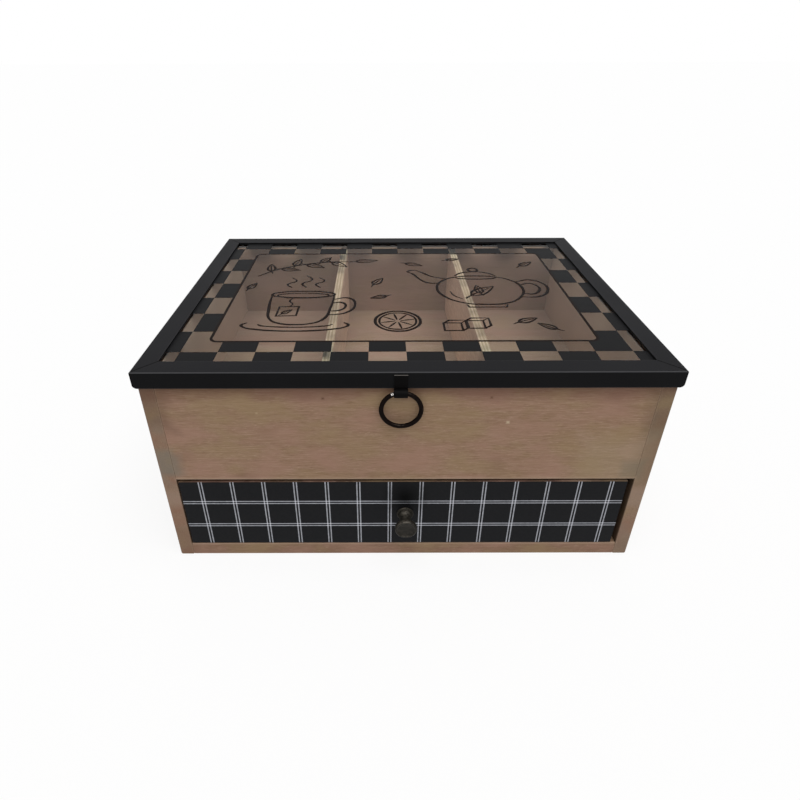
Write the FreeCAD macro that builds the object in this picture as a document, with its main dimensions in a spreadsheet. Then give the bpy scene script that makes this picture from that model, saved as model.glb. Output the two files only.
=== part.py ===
"""Tea bag drawer box: a wooden box with three tea compartments under a glazed metal lid,
and a shallow drawer in its base.

Millimetres. +X is right, +Y is back, +Z is up, and the front faces -Y.
The origin is the centre of the underside, on the surface that the box stands on.
"""
import FreeCAD, Part
import operator
import os

import Sketcher
from FreeCAD import Placement, Rotation, Vector

SIZES = {
    # the wooden carcass
    "body_wide": 237.3,
    "body_deep": 181.2,
    "rim_high": 110.1,
    "wall": 7.2,
    "base_thick": 7.8,
    "opening_high": 44.3,
    "lip_under_shelf": 5.1,
    "shelf_thick": 4.0,
    "divider_thick": 4.6,
    "divider_drop": 1.8,
    "dividers_right": 1.0,
    "groove_deep": 2.0,
    "corner_round": 1.2,
    "edge_ease": 0.4,
    # the drawer
    "drawer_gap_left": 0.45,
    "drawer_gap_right": 2.65,
    "drawer_gap_low": 0.3,
    "drawer_gap_top": 1.5,
    "drawer_gap_back": 1.5,
    "drawer_front_thick": 7.0,
    "drawer_side_thick": 5.0,
    "drawer_side_drop": 4.0,
    "drawer_floor_thick": 3.0,
    "drawer_floor_raise": 3.0,
    "print_thick": 0.2,
    "print_margin": 0.3,
    # the turned knob and its screw
    "knob_right": 0.4,
    "knob_reach": 11.5,
    "knob_foot_radius": 4.25,
    "knob_foot_thick": 0.8,
    "knob_collar_radius": 3.5,
    "knob_neck_radius": 2.75,
    "knob_head_radius": 5.45,
    "knob_head_thick": 2.8,
    "knob_rim_wide": 1.0,
    "knob_dish_deep": 0.4,
    "knob_thread_deep": 5.0,
    "screw_radius": 1.5,
    "screw_head_radius": 2.9,
    "screw_head_thick": 2.0,
    "screw_slot_wide": 0.6,
    "screw_end_gap": 0.5,
    "thread_clearance": 0.05,
    "washer_radius": 4.5,
    "washer_thick": 0.8,
    # the metal lid frame and its glass
    "lid_gap": 0.3,
    "skirt_gap_side": 0.55,
    "skirt_gap_end": 0.6,
    "skirt_high": 8.3,
    "skirt_thick": 0.8,
    "skirt_corner_round": 2.0,
    "flange_wide": 9.5,
    "flange_thick": 1.2,
    "bend_radius": 0.6,
    "mitre_gap": 0.06,
    "glass_thick": 2.0,
    "glass_gap": 0.6,
    "clip_thick": 0.5,
    "clip_wide": 10.0,
    "clip_reach": 7.0,
    # the pull tab and ring on the front of the lid
    "pull_left": 3.05,
    "tab_wide": 6.0,
    "tab_thick": 0.4,
    "tab_top_drop": 1.5,
    "tab_loop_radius": 1.65,
    "tab_wall_gap": 0.35,
    "ring_radius": 8.9,
    "ring_wire_radius": 1.05,
    "ring_lift": 0.25,
    "ring_right": 0.25,
    "loop_below_skirt": 2.1,
    # the two butt hinges on the back
    "hinge_from_corner": 46.65,
    "hinge_wide": 24.0,
    "hinge_out": 2.4,
    "hinge_below_skirt": 2.3,
    "leaf_thick": 0.8,
    "leaf_low_high": 12.0,
    "leaf_top_drop": 1.4,
    "knuckle_radius": 1.9,
    "knuckle_gap": 0.3,
    "pin_radius": 0.9,
    "pin_clearance": 0.05,
    "pin_head_radius": 1.5,
    "pin_head_thick": 0.5,
    "fixing_from_middle": 7.5,
    "fixing_from_end": 3.8,
    "hinge_screw_radius": 1.0,
    "hinge_screw_deep": 5.5,
    "hinge_screw_head_radius": 2.0,
    "hinge_screw_head_thick": 0.9,
    "fixing_clearance": 0.03,
    # how far a cutting solid runs past what it cuts
    "overrun": 1.0,
}

COMPARTMENTS = 3
KNUCKLES = 3
CLIP_PLACE_SHARE = 0.55
HAIR_SHARE = 0.001
RING_SWEEP_DEGREES = 358.4
RING_SPLIT_DEGREES = 115.0

doc = FreeCAD.newDocument("tea_bag_drawer_box")
sheet = doc.addObject("Spreadsheet::Sheet", "Sizes")
for row, (alias, number) in enumerate(SIZES.items(), start=1):
    sheet.set("A%d" % row, alias)
    sheet.set("B%d" % row, str(number))
    sheet.setAlias("B%d" % row, alias)
doc.recompute()


class Size:
    """A length that knows its present value and the sheet formula that it comes from."""

    WORK = {"+": operator.add, "-": operator.sub, "*": operator.mul, "/": operator.truediv}

    def __init__(self, value, formula):
        self.value = value
        self.formula = formula

    def joined(self, sign, other, turned=False):
        left, right = self, other if isinstance(other, Size) else Size(other, repr(other))
        if turned:
            left, right = right, left
        return Size(
            self.WORK[sign](left.value, right.value),
            "(%s %s %s)" % (left.formula, sign, right.formula),
        )

    def __add__(self, other):
        return self.joined("+", other)

    def __radd__(self, other):
        return self.joined("+", other, turned=True)

    def __sub__(self, other):
        return self.joined("-", other)

    def __rsub__(self, other):
        return self.joined("-", other, turned=True)

    def __mul__(self, other):
        return self.joined("*", other)

    def __rmul__(self, other):
        return self.joined("*", other, turned=True)

    def __truediv__(self, other):
        return self.joined("/", other)

    def __neg__(self):
        return self.joined("-", 0, turned=True)


class Sheet:
    """The driving dimensions, each as a Size."""


mm = Sheet()
for alias, number in SIZES.items():
    setattr(mm, alias, Size(number, "Sizes." + alias))
ZERO = Size(0, "0")

# Levels and faces that several pieces share.
half_wide = mm.body_wide / 2
half_deep = mm.body_deep / 2
inner_side = half_wide - mm.wall
inner_end = half_deep - mm.wall
opening_top = mm.base_thick + mm.opening_high
shelf_low = opening_top + mm.lip_under_shelf
shelf_top = shelf_low + mm.shelf_thick
divider_top = mm.rim_high - mm.divider_drop
lid_half_wide = half_wide + mm.skirt_gap_side + mm.skirt_thick
lid_half_deep = half_deep + mm.skirt_gap_end + mm.skirt_thick
clip_low = mm.rim_high + mm.lid_gap
glass_low = clip_low + mm.clip_thick
glass_top = glass_low + mm.glass_thick
lid_high = glass_top + mm.flange_thick
skirt_low = lid_high - mm.skirt_high

ALONG_X = Rotation(Vector(0, 1, 0), 90)
ALONG_FRONT = Rotation(Vector(1, 0, 0), 90)
ALONG_BACK = Rotation(Vector(1, 0, 0), -90)
ALONG_Z = Rotation()

nodes = []


def node(thing, label):
    """Give a finished piece its own name and put it on the list of pieces to write."""
    thing.Label = label
    nodes.append(thing)
    return thing


def new_body(label):
    return node(doc.addObject("PartDesign::Body", label), label)


def place(thing, corner, turn=ALONG_Z):
    """Turn a thing, and bind where it stands to the sheet."""
    thing.Placement = Placement(Vector(), turn)
    for axis, distance in zip("xyz", corner):
        thing.setExpression("Placement.Base." + axis, as_size(distance).formula)


def as_size(distance):
    return distance if isinstance(distance, Size) else Size(distance, repr(distance))


def primitive(holder, kind, shape):
    """A primitive that is Additive or Subtractive in a body, or Part where it stands alone."""
    if kind == "Part":
        return holder.addObject("Part::" + shape, shape.lower())
    return holder.newObject("PartDesign::" + kind + shape, shape.lower())


def block(holder, kind, low, high):
    """A box between two corners."""
    box = primitive(holder, kind, "Box")
    for side, near, far in zip(("Length", "Width", "Height"), low, high):
        box.setExpression(side, (far - as_size(near)).formula)
    place(box, low)
    return box


def rod(holder, kind, radius, length, corner, turn):
    """A cylinder from a point, in the direction of turn."""
    bar = primitive(holder, kind, "Cylinder")
    bar.setExpression("Radius", radius.formula)
    bar.setExpression("Height", length.formula)
    place(bar, corner, turn)
    return bar


def edges_where(shape, test):
    """The names of the edges whose two ends both pass a test."""
    return [
        "Edge%d" % number
        for number, edge in enumerate(shape.Edges, start=1)
        if all(test(vertex.Point) for vertex in edge.Vertexes)
    ]


def at(first, second):
    """Whether two coordinates are the same, within a hair of the finest edge."""
    return abs(first - second) < mm.edge_ease.value * HAIR_SHARE


def ease(body, radius, test=lambda point: True):
    """Round the edges of the body's last feature that pass a test."""
    doc.recompute()
    base = body.Tip
    fillet = body.newObject("PartDesign::Fillet", "eased_edges")
    fillet.Base = (base, edges_where(base.Shape, test))
    fillet.setExpression("Radius", radius.formula)
    doc.recompute()
    return fillet


def board(label, low, high):
    """A planed board with its edges eased."""
    body = new_body(label)
    block(body, "Additive", low, high)
    ease(body, mm.edge_ease)
    return body


def draw(body, plane, path):
    """A closed sketch on one of the body's own planes.

    A path is a list of corners (across, up). A third entry, "via", marks a point on the arc
    that joins the corners before and after it.
    """
    sketch = body.newObject("Sketcher::SketchObject", "outline")
    support = [feature for feature in body.Origin.OriginFeatures if feature.Role == plane][0]
    sketch.AttachmentSupport = [(support, "")]
    sketch.MapMode = "FlatFace"
    count = len(path)
    ends = []
    starts = [number for number, point in enumerate(path) if len(point) == 2]
    for number in starts:
        first = path[number]
        second = path[(number + 1) % count]
        via = None
        if len(second) == 3:
            via = second
            second = path[(number + 2) % count]
        near, far = flat(first), flat(second)
        if via is None:
            edge = sketch.addGeometry(Part.LineSegment(near, far), False)
            ends.append((edge, 1, 2))
        else:
            edge = sketch.addGeometry(Part.Arc(near, flat(via), far), False)
            begins = (sketch.getPoint(edge, 1) - near).Length < (sketch.getPoint(edge, 2) - near).Length
            ends.append((edge, 1, 2) if begins else (edge, 2, 1))
            mark = sketch.addGeometry(Part.Point(flat(via)), True)
            sketch.addConstraint(Sketcher.Constraint("PointOnObject", mark, 1, edge))
            bind_point(sketch, mark, 1, via)
    for number, (edge, start, finish) in enumerate(ends):
        following, begins, _ = ends[(number + 1) % len(ends)]
        sketch.addConstraint(Sketcher.Constraint("Coincident", edge, finish, following, begins))
        bind_point(sketch, edge, start, path[starts[number]])
    return sketch


def flat(point):
    return Vector(as_size(point[0]).value, as_size(point[1]).value, 0)


def bind_point(sketch, edge, end, point):
    """Hold one sketch point at its distances from the sketch's origin."""
    for kind, distance, axis in (("DistanceX", point[0], -2), ("DistanceY", point[1], -1)):
        distance = as_size(distance)
        if distance.value == 0:
            sketch.addConstraint(Sketcher.Constraint("PointOnObject", edge, end, axis))
            continue
        held = sketch.addConstraint(Sketcher.Constraint(kind, -1, 1, edge, end, distance.value))
        sketch.setExpression("Constraints[%d]" % held, distance.formula)


# Side panels: they run the full depth and height, and their front edges show as the stiles.
# The shelf sits in a groove on the inside of each.
for label, side in (("left_side_panel", -1), ("right_side_panel", 1)):
    panel = new_body(label)
    outer = half_wide * side
    inner = inner_side * side
    left, right = (outer, inner) if side < 0 else (inner, outer)
    block(panel, "Additive", (left, -half_deep, ZERO), (right, half_deep, mm.rim_high))
    ease(panel, mm.corner_round, lambda point: at(point.x, outer.value))
    ease(panel, mm.edge_ease, lambda point: at(point.x, inner.value))
    bed = inner + mm.groove_deep * side
    left, right = (bed, inner) if side < 0 else (inner, bed)
    groove_end = inner_end + mm.groove_deep
    block(panel, "Subtractive", (left, -groove_end, shelf_low), (right, groove_end, shelf_top))

# Front and back panels stand between the side panels. Each has a groove for the shelf
# and an upright groove for the end of each divider. The dividers stand a little right of an
# even split.
compartment = (inner_side * 2 - mm.divider_thick * (COMPARTMENTS - 1)) / COMPARTMENTS
divider_lefts = [
    (compartment + mm.divider_thick) * (number + 1) - mm.divider_thick - inner_side + mm.dividers_right
    for number in range(COMPARTMENTS - 1)
]


def end_panel(label, side, low):
    """A panel across the front (side -1) or the back (side 1), from a level up to the rim."""
    near, far = sorted((half_deep * side, inner_end * side), key=lambda size: size.value)
    panel = board(label, (-inner_side, near, low), (inner_side, far, mm.rim_high))
    inner = inner_end * side
    near, far = sorted((inner, inner + mm.groove_deep * side), key=lambda size: size.value)
    block(panel, "Subtractive", (-inner_side, near, shelf_low), (inner_side, far, shelf_top))
    for left in divider_lefts:
        block(
            panel,
            "Subtractive",
            (left, near, shelf_top),
            (left + mm.divider_thick, far, mm.rim_high + mm.overrun),
        )
    return panel


end_panel("front_panel", -1, opening_top)
back_panel = end_panel("back_panel", 1, ZERO)

board("bottom_board", (-inner_side, -half_deep, ZERO), (inner_side, inner_end, mm.base_thick))

# The shelf is the floor of the tea compartments and the ceiling over the drawer.
shelf = new_body("shelf_board")
shelf_side = inner_side + mm.groove_deep
shelf_end = inner_end + mm.groove_deep
block(shelf, "Additive", (-shelf_side, -shelf_end, shelf_low), (shelf_side, shelf_end, shelf_top))

for label, left in zip(("divider_left", "divider_right"), divider_lefts):
    board(label, (left, -shelf_end, shelf_top), (left + mm.divider_thick, shelf_end, divider_top))

# Drawer. Its front closes flush with the carcass, and it runs on the bottom board.
drawer_left = mm.drawer_gap_left - inner_side
drawer_right = inner_side - mm.drawer_gap_right
drawer_low = mm.base_thick + mm.drawer_gap_low
drawer_top = opening_top - mm.drawer_gap_top
drawer_back = inner_end - mm.drawer_gap_back
knob_high = (drawer_low + drawer_top) / 2
front_back_face = mm.drawer_front_thick - half_deep
side_top = drawer_top - mm.drawer_side_drop
floor_low = drawer_low + mm.drawer_floor_raise
floor_top = floor_low + mm.drawer_floor_thick
print_back = mm.print_thick - half_deep
inside_left = drawer_left + mm.drawer_side_thick
inside_right = drawer_right - mm.drawer_side_thick
inside_back = drawer_back - mm.drawer_side_thick
floor_left = inside_left - mm.groove_deep
floor_right = inside_right + mm.groove_deep
floor_front = front_back_face - mm.groove_deep
floor_back = inside_back + mm.groove_deep

drawer_front = board(
    "drawer_front", (drawer_left, print_back, drawer_low), (drawer_right, front_back_face, drawer_top)
)
block(
    drawer_front,
    "Subtractive",
    (floor_left, floor_front, floor_low),
    (floor_right, front_back_face, floor_top),
)
rod(
    drawer_front,
    "Subtractive",
    mm.screw_radius + mm.thread_clearance * 2,
    mm.drawer_front_thick,
    (mm.knob_right, -half_deep, knob_high),
    ALONG_BACK,
)

drawer_print = new_body("drawer_front_print")
block(
    drawer_print,
    "Additive",
    (drawer_left + mm.print_margin, -half_deep, drawer_low + mm.print_margin),
    (drawer_right - mm.print_margin, print_back, drawer_top - mm.print_margin),
)
rod(
    drawer_print,
    "Subtractive",
    mm.screw_radius + mm.thread_clearance * 2,
    mm.print_thick,
    (mm.knob_right, -half_deep, knob_high),
    ALONG_BACK,
)

for label, outer, inner, bed in (
    ("drawer_side_left", drawer_left, inside_left, floor_left),
    ("drawer_side_right", drawer_right, inside_right, floor_right),
):
    left, right = sorted((outer, inner), key=lambda size: size.value)
    side_board = board(label, (left, front_back_face, drawer_low), (right, drawer_back, side_top))
    left, right = sorted((inner, bed), key=lambda size: size.value)
    block(side_board, "Subtractive", (left, front_back_face, floor_low), (right, floor_back, floor_top))

drawer_back_board = board(
    "drawer_back", (inside_left, inside_back, drawer_low), (inside_right, drawer_back, side_top)
)
block(
    drawer_back_board,
    "Subtractive",
    (inside_left, inside_back, floor_low),
    (inside_right, floor_back, floor_top),
)
drawer_floor = new_body("drawer_bottom")
block(drawer_floor, "Additive", (floor_left, floor_front, floor_low), (floor_right, floor_back, floor_top))

# Turned knob: a foot, a collar that narrows to a neck, and a head with a raised rim.
# The sketch's across is the radius, and its up runs from the drawer's face to the back,
# so the knob lies below its axis line.
head_back = mm.knob_head_thick - mm.knob_reach
head_round = mm.knob_head_thick / 4
neck_at = head_back / 2 - mm.knob_foot_thick
foot_top = -mm.knob_foot_thick
collar_at = foot_top * 2
rim_inside = mm.knob_head_radius - mm.knob_rim_wide
knob = new_body("drawer_knob")
knob_outline = draw(
    knob,
    "XY_Plane",
    [
        (ZERO, ZERO),
        (mm.knob_foot_radius, ZERO),
        (mm.knob_foot_radius, foot_top / 2),
        (mm.knob_foot_radius - mm.knob_foot_thick / 4, foot_top),
        (mm.knob_collar_radius, foot_top),
        (mm.knob_collar_radius - (mm.knob_collar_radius - mm.knob_neck_radius) / 8, collar_at, "via"),
        (mm.knob_neck_radius, neck_at),
        ((mm.knob_neck_radius * 4 + mm.knob_head_radius) / 5, (neck_at + head_back * 3) / 4, "via"),
        (mm.knob_head_radius - head_round, head_back),
        (mm.knob_head_radius, head_back - mm.knob_head_thick / 2, "via"),
        (mm.knob_head_radius - head_round, -mm.knob_reach),
        (rim_inside, -mm.knob_reach),
        (rim_inside - mm.knob_dish_deep, mm.knob_dish_deep - mm.knob_reach),
        (ZERO, mm.knob_dish_deep - mm.knob_reach),
    ],
)
turned = knob.newObject("PartDesign::Revolution", "turned")
turned.Profile = knob_outline
turned.ReferenceAxis = (knob_outline, ["V_Axis"])
turned.Angle = 360
rod(knob, "Subtractive", mm.screw_radius + mm.thread_clearance, mm.knob_thread_deep, (0, 0, 0), ALONG_FRONT)
place(knob, (mm.knob_right, -half_deep, knob_high))

washer_back = front_back_face + mm.washer_thick
washer = new_body("knob_washer")
rod(
    washer,
    "Additive",
    mm.washer_radius,
    mm.washer_thick,
    (mm.knob_right, front_back_face, knob_high),
    ALONG_BACK,
)
rod(
    washer,
    "Subtractive",
    mm.screw_radius + mm.thread_clearance * 2,
    mm.washer_thick,
    (mm.knob_right, front_back_face, knob_high),
    ALONG_BACK,
)

screw = new_body("knob_screw")
screw_length = mm.drawer_front_thick + mm.washer_thick + mm.knob_thread_deep - mm.screw_end_gap
rod(
    screw,
    "Additive",
    mm.screw_radius,
    screw_length,
    (mm.knob_right, washer_back - screw_length, knob_high),
    ALONG_BACK,
)
rod(
    screw,
    "Additive",
    mm.screw_head_radius,
    mm.screw_head_thick,
    (mm.knob_right, washer_back, knob_high),
    ALONG_BACK,
)
head_end = washer_back + mm.screw_head_thick
ease(screw, mm.screw_head_thick / 2, lambda point: at(point.y, head_end.value))
slot_long = mm.screw_head_radius * 2 / 3
slot_half = mm.screw_slot_wide / 2
slot_floor = washer_back + mm.screw_head_thick / 2
for wide, tall in ((slot_long, slot_half), (slot_half, slot_long)):
    block(
        screw,
        "Subtractive",
        (mm.knob_right - wide, slot_floor, knob_high - tall),
        (mm.knob_right + wide, head_end + mm.overrun, knob_high + tall),
    )

# Lid frame: four mitred lengths of folded steel, each a flange on top and a skirt outside.


def frame_member(label, turned_quarter, side, half_long, half_across):
    """One length of the frame. Without a quarter turn it runs along X, at side -1 front or 1 back."""
    member = new_body(label)
    for wide, tall in ((mm.flange_wide, mm.flange_thick), (mm.skirt_thick, mm.skirt_high)):
        outer_long = half_long - mm.mitre_gap
        inner_long = outer_long - wide
        outer_line = half_across * side
        inner_line = (half_across - wide) * side
        corners = [
            (-outer_long, outer_line),
            (outer_long, outer_line),
            (inner_long, inner_line),
            (-inner_long, inner_line),
        ]
        if turned_quarter:
            corners = [(across, along) for along, across in corners]
        outline = draw(member, "XY_Plane", corners)
        pad = member.newObject("PartDesign::Pad", "folded")
        pad.Profile = outline
        pad.setExpression("Length", tall.formula)
        outline.setExpression("AttachmentOffset.Base.z", (lid_high - tall).formula)
    line = (half_across * side).value
    top = lid_high.value
    if turned_quarter:
        ease(member, mm.bend_radius, lambda point: at(point.x, line) and at(point.z, top))
    else:
        ease(member, mm.bend_radius, lambda point: at(point.y, line) and at(point.z, top))
    plane = "YZ_Plane" if turned_quarter else "XZ_Plane"
    start = half_long - mm.skirt_corner_round
    rise = skirt_low + mm.skirt_corner_round
    arc_share = 1 - 0.5 ** 0.5
    for end in (-1, 1):
        corner = draw(
            member,
            plane,
            [
                ((half_long + mm.overrun) * end, skirt_low - mm.overrun),
                ((half_long + mm.overrun) * end, rise),
                (half_long * end, rise),
                (
                    (half_long - mm.skirt_corner_round * arc_share) * end,
                    skirt_low + mm.skirt_corner_round * arc_share,
                    "via",
                ),
                (start * end, skirt_low),
                (start * end, skirt_low - mm.overrun),
            ],
        )
        cut = member.newObject("PartDesign::Pocket", "rounded_corner")
        cut.Profile = corner
        cut.Type = "ThroughAll"
        cut.Midplane = True
    return member


frame_front = frame_member("lid_frame_front", False, -1, lid_half_wide, lid_half_deep)
frame_back = frame_member("lid_frame_back", False, 1, lid_half_wide, lid_half_deep)
frame_member("lid_frame_left", True, -1, lid_half_deep, lid_half_wide)
frame_member("lid_frame_right", True, 1, lid_half_deep, lid_half_wide)

glass_side = lid_half_wide - mm.skirt_thick - mm.glass_gap
glass_end = lid_half_deep - mm.skirt_thick - mm.glass_gap
glass = new_body("lid_glass")
block(glass, "Additive", (-glass_side, -glass_end, glass_low), (glass_side, glass_end, glass_top))

# Glass clips: small angles soldered inside the skirt, which hold the glass up against the flange.
skirt_side = lid_half_wide - mm.skirt_thick
skirt_end = lid_half_deep - mm.skirt_thick
clips = []
for along_x, side, face, reach in (
    (True, -1, skirt_end, lid_half_wide),
    (True, 1, skirt_end, lid_half_wide),
    (False, -1, skirt_side, lid_half_deep),
    (False, 1, skirt_side, lid_half_deep),
):
    for end in (-1, 1):
        middle = reach * CLIP_PLACE_SHARE * end
        legs = []
        for deep, tall in ((mm.clip_reach, mm.clip_thick), (mm.clip_thick, glass_top - clip_low)):
            near, far = sorted((face * side, (face - deep) * side), key=lambda size: size.value)
            low = (middle - mm.clip_wide / 2, near, clip_low)
            high = (middle + mm.clip_wide / 2, far, clip_low + tall)
            if not along_x:
                low = (low[1], low[0], low[2])
                high = (high[1], high[0], high[2])
            legs.append(block(doc, "Part", low, high))
        clip = doc.addObject("Part::MultiFuse", "clip")
        clip.Shapes = legs
        clips.append(clip)
clip_group = node(doc.addObject("Part::Compound", "clips"), "glass_clips")
clip_group.Links = clips

# Pull tab: a strip down the front skirt, curled at its foot into a loop for the ring.
loop_outside = mm.tab_loop_radius + mm.tab_thick
loop_front = mm.tab_wall_gap + loop_outside + half_deep
loop_high = skirt_low - mm.loop_below_skirt
tab_left = -mm.pull_left - mm.tab_wide / 2
tab = new_body("pull_tab")
block(
    tab,
    "Additive",
    (tab_left, -lid_half_deep - mm.tab_thick, loop_high),
    (tab_left + mm.tab_wide, -lid_half_deep, lid_high - mm.tab_top_drop),
)
rod(tab, "Additive", loop_outside, mm.tab_wide, (tab_left, -loop_front, loop_high), ALONG_X)
rod(tab, "Subtractive", mm.tab_loop_radius, mm.tab_wide, (tab_left, -loop_front, loop_high), ALONG_X)

# Pull ring: a split ring of round wire that hangs in the tab's loop.
ring = node(doc.addObject("Part::Torus", "ring"), "pull_ring")
ring.setExpression("Radius1", mm.ring_radius.formula)
ring.setExpression("Radius2", mm.ring_wire_radius.formula)
ring.Angle3 = RING_SWEEP_DEGREES
place(
    ring,
    (mm.ring_right - mm.pull_left, -loop_front, loop_high + mm.ring_lift - mm.ring_radius),
    ALONG_FRONT * Rotation(Vector(0, 0, 1), RING_SPLIT_DEGREES),
)

# Butt hinges: a leaf screwed to the back panel, a leaf riveted to the back skirt, and a pin.
axis_back = half_deep + mm.hinge_out
axis_high = skirt_low - mm.hinge_below_skirt
knuckle_long = (mm.hinge_wide - mm.knuckle_gap * (KNUCKLES - 1)) / KNUCKLES
knuckle_clear = mm.knuckle_radius + mm.knuckle_gap
bore = mm.pin_radius + mm.pin_clearance
fixing_bore = mm.hinge_screw_radius + mm.fixing_clearance
leaf_low = axis_high - mm.leaf_low_high
leaf_top = lid_high - mm.leaf_top_drop
screw_high = leaf_low + mm.fixing_from_end
rivet_high = leaf_top - mm.fixing_from_end / 2
screws = []
rivets = []


def button(radius, length, head_radius, head_thick, corner, face):
    """A round shank that starts at corner and runs back, with a low tapered head on a face."""
    shank = rod(doc, "Part", radius, length, corner, ALONG_BACK)
    head = doc.addObject("Part::Cone", "head")
    head.setExpression("Radius1", head_radius.formula)
    head.setExpression("Radius2", (head_radius * 2 / 3).formula)
    head.setExpression("Height", head_thick.formula)
    place(head, (corner[0], face, corner[2]), ALONG_BACK)
    joined = doc.addObject("Part::MultiFuse", "button")
    joined.Shapes = [shank, head]
    return joined


for name, side in (("left", -1), ("right", 1)):
    middle = (half_wide - mm.hinge_from_corner) * side
    left = middle - mm.hinge_wide / 2
    right = middle + mm.hinge_wide / 2
    knuckle_lefts = [left + (knuckle_long + mm.knuckle_gap) * number for number in range(KNUCKLES)]

    box_leaf = new_body("hinge_leaf_box_" + name)
    leaf_face = half_deep + mm.leaf_thick
    block(box_leaf, "Additive", (left, half_deep, leaf_low), (right, leaf_face, axis_high))
    block(
        box_leaf,
        "Subtractive",
        (knuckle_lefts[1] - mm.knuckle_gap, half_deep, axis_high - knuckle_clear),
        (knuckle_lefts[2], leaf_face, axis_high),
    )
    for start in (knuckle_lefts[0], knuckle_lefts[2]):
        rod(box_leaf, "Additive", mm.knuckle_radius, knuckle_long, (start, axis_back, axis_high), ALONG_X)
    rod(box_leaf, "Subtractive", bore, mm.hinge_wide, (left, axis_back, axis_high), ALONG_X)

    lid_leaf = new_body("hinge_leaf_lid_" + name)
    lid_leaf_face = lid_half_deep + mm.leaf_thick
    block(lid_leaf, "Additive", (left, lid_half_deep, axis_high), (right, lid_leaf_face, leaf_top))
    for start, end in ((left, knuckle_lefts[1]), (knuckle_lefts[2] - mm.knuckle_gap, right)):
        block(
            lid_leaf,
            "Subtractive",
            (start, lid_half_deep, axis_high),
            (end, lid_leaf_face, axis_high + knuckle_clear),
        )
    rod(
        lid_leaf,
        "Additive",
        mm.knuckle_radius,
        knuckle_long,
        (knuckle_lefts[1], axis_back, axis_high),
        ALONG_X,
    )
    rod(lid_leaf, "Subtractive", bore, mm.hinge_wide, (left, axis_back, axis_high), ALONG_X)

    pin = new_body("hinge_pin_" + name)
    rod(pin, "Additive", mm.pin_radius, mm.hinge_wide, (left, axis_back, axis_high), ALONG_X)
    for start in (left - mm.pin_head_thick, right):
        rod(
            pin,
            "Additive",
            mm.pin_head_radius,
            mm.pin_head_thick,
            (start, axis_back, axis_high),
            ALONG_X,
        )

    for end in (-1, 1):
        across = middle + mm.fixing_from_middle * end
        screw_tip = leaf_face - mm.hinge_screw_deep
        rivet_start = lid_half_deep - mm.skirt_thick
        rivet_long = mm.skirt_thick + mm.leaf_thick
        rod(
            box_leaf,
            "Subtractive",
            fixing_bore,
            mm.leaf_thick,
            (across, half_deep, screw_high),
            ALONG_BACK,
        )
        rod(
            back_panel,
            "Subtractive",
            fixing_bore,
            mm.hinge_screw_deep,
            (across, screw_tip, screw_high),
            ALONG_BACK,
        )
        for pierced in (lid_leaf, frame_back):
            rod(
                pierced,
                "Subtractive",
                fixing_bore,
                rivet_long,
                (across, rivet_start, rivet_high),
                ALONG_BACK,
            )
        screws.append(
            button(
                mm.hinge_screw_radius,
                mm.hinge_screw_deep,
                mm.hinge_screw_head_radius,
                mm.hinge_screw_head_thick,
                (across, screw_tip, screw_high),
                leaf_face,
            )
        )
        rivets.append(
            button(
                mm.hinge_screw_radius,
                rivet_long,
                mm.hinge_screw_head_radius,
                mm.hinge_screw_head_thick,
                (across, rivet_start, rivet_high),
                lid_leaf_face,
            )
        )

screw_group = node(doc.addObject("Part::Compound", "screws"), "hinge_screws")
screw_group.Links = screws
rivet_group = node(doc.addObject("Part::Compound", "rivets"), "hinge_rivets")
rivet_group.Links = rivets

doc.recompute()
for thing in doc.Objects:
    if "Invalid" in thing.State or "Error" in thing.State:
        raise RuntimeError("%s failed: %s" % (thing.Label, thing.State))
for piece in nodes:
    if piece.Shape.isNull() or not piece.Shape.isValid():
        raise RuntimeError("%s has no valid shape" % piece.Label)

os.makedirs("parts", exist_ok=True)
for piece in nodes:
    piece.Shape.exportStep("parts/%s.step" % piece.Label)
    bounds = piece.Shape.BoundBox
    print(
        "%-20s %2d solids %10.2f mm3   x %8.2f %8.2f   y %8.2f %8.2f   z %7.2f %7.2f"
        % (
            piece.Label,
            len(piece.Shape.Solids),
            piece.Shape.Volume,
            bounds.XMin,
            bounds.XMax,
            bounds.YMin,
            bounds.YMax,
            bounds.ZMin,
            bounds.ZMax,
        )
    )
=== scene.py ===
# %% [markdown]
# # Tea bag drawer box
#
# A wooden box for tea bags, 240 mm wide. Three compartments lie under a hinged lid of folded
# black steel and glass, and a shallow drawer with a plaid front slides out of the base.
# The CAD pieces arrive as a fixed frame in metres: +X is right, +Y is back, +Z is up. Most of
# them keep their shape and get a material. The few that want finer form are modelled anew.

import math

import bmesh
import bpy
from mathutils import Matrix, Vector


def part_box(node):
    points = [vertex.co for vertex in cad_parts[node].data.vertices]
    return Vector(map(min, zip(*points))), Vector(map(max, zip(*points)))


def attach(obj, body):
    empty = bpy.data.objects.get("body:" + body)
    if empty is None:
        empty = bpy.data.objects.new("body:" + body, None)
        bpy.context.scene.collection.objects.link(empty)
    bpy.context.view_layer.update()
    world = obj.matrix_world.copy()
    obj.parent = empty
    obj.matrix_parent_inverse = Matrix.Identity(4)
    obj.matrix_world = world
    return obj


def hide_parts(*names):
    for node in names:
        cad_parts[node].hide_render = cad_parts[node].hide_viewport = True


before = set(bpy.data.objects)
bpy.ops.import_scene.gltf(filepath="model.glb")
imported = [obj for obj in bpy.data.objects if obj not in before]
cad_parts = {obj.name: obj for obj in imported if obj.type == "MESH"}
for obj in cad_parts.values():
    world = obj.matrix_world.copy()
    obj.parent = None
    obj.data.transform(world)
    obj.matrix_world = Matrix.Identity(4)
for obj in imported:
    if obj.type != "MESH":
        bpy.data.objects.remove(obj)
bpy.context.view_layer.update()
MM = 0.001

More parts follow.
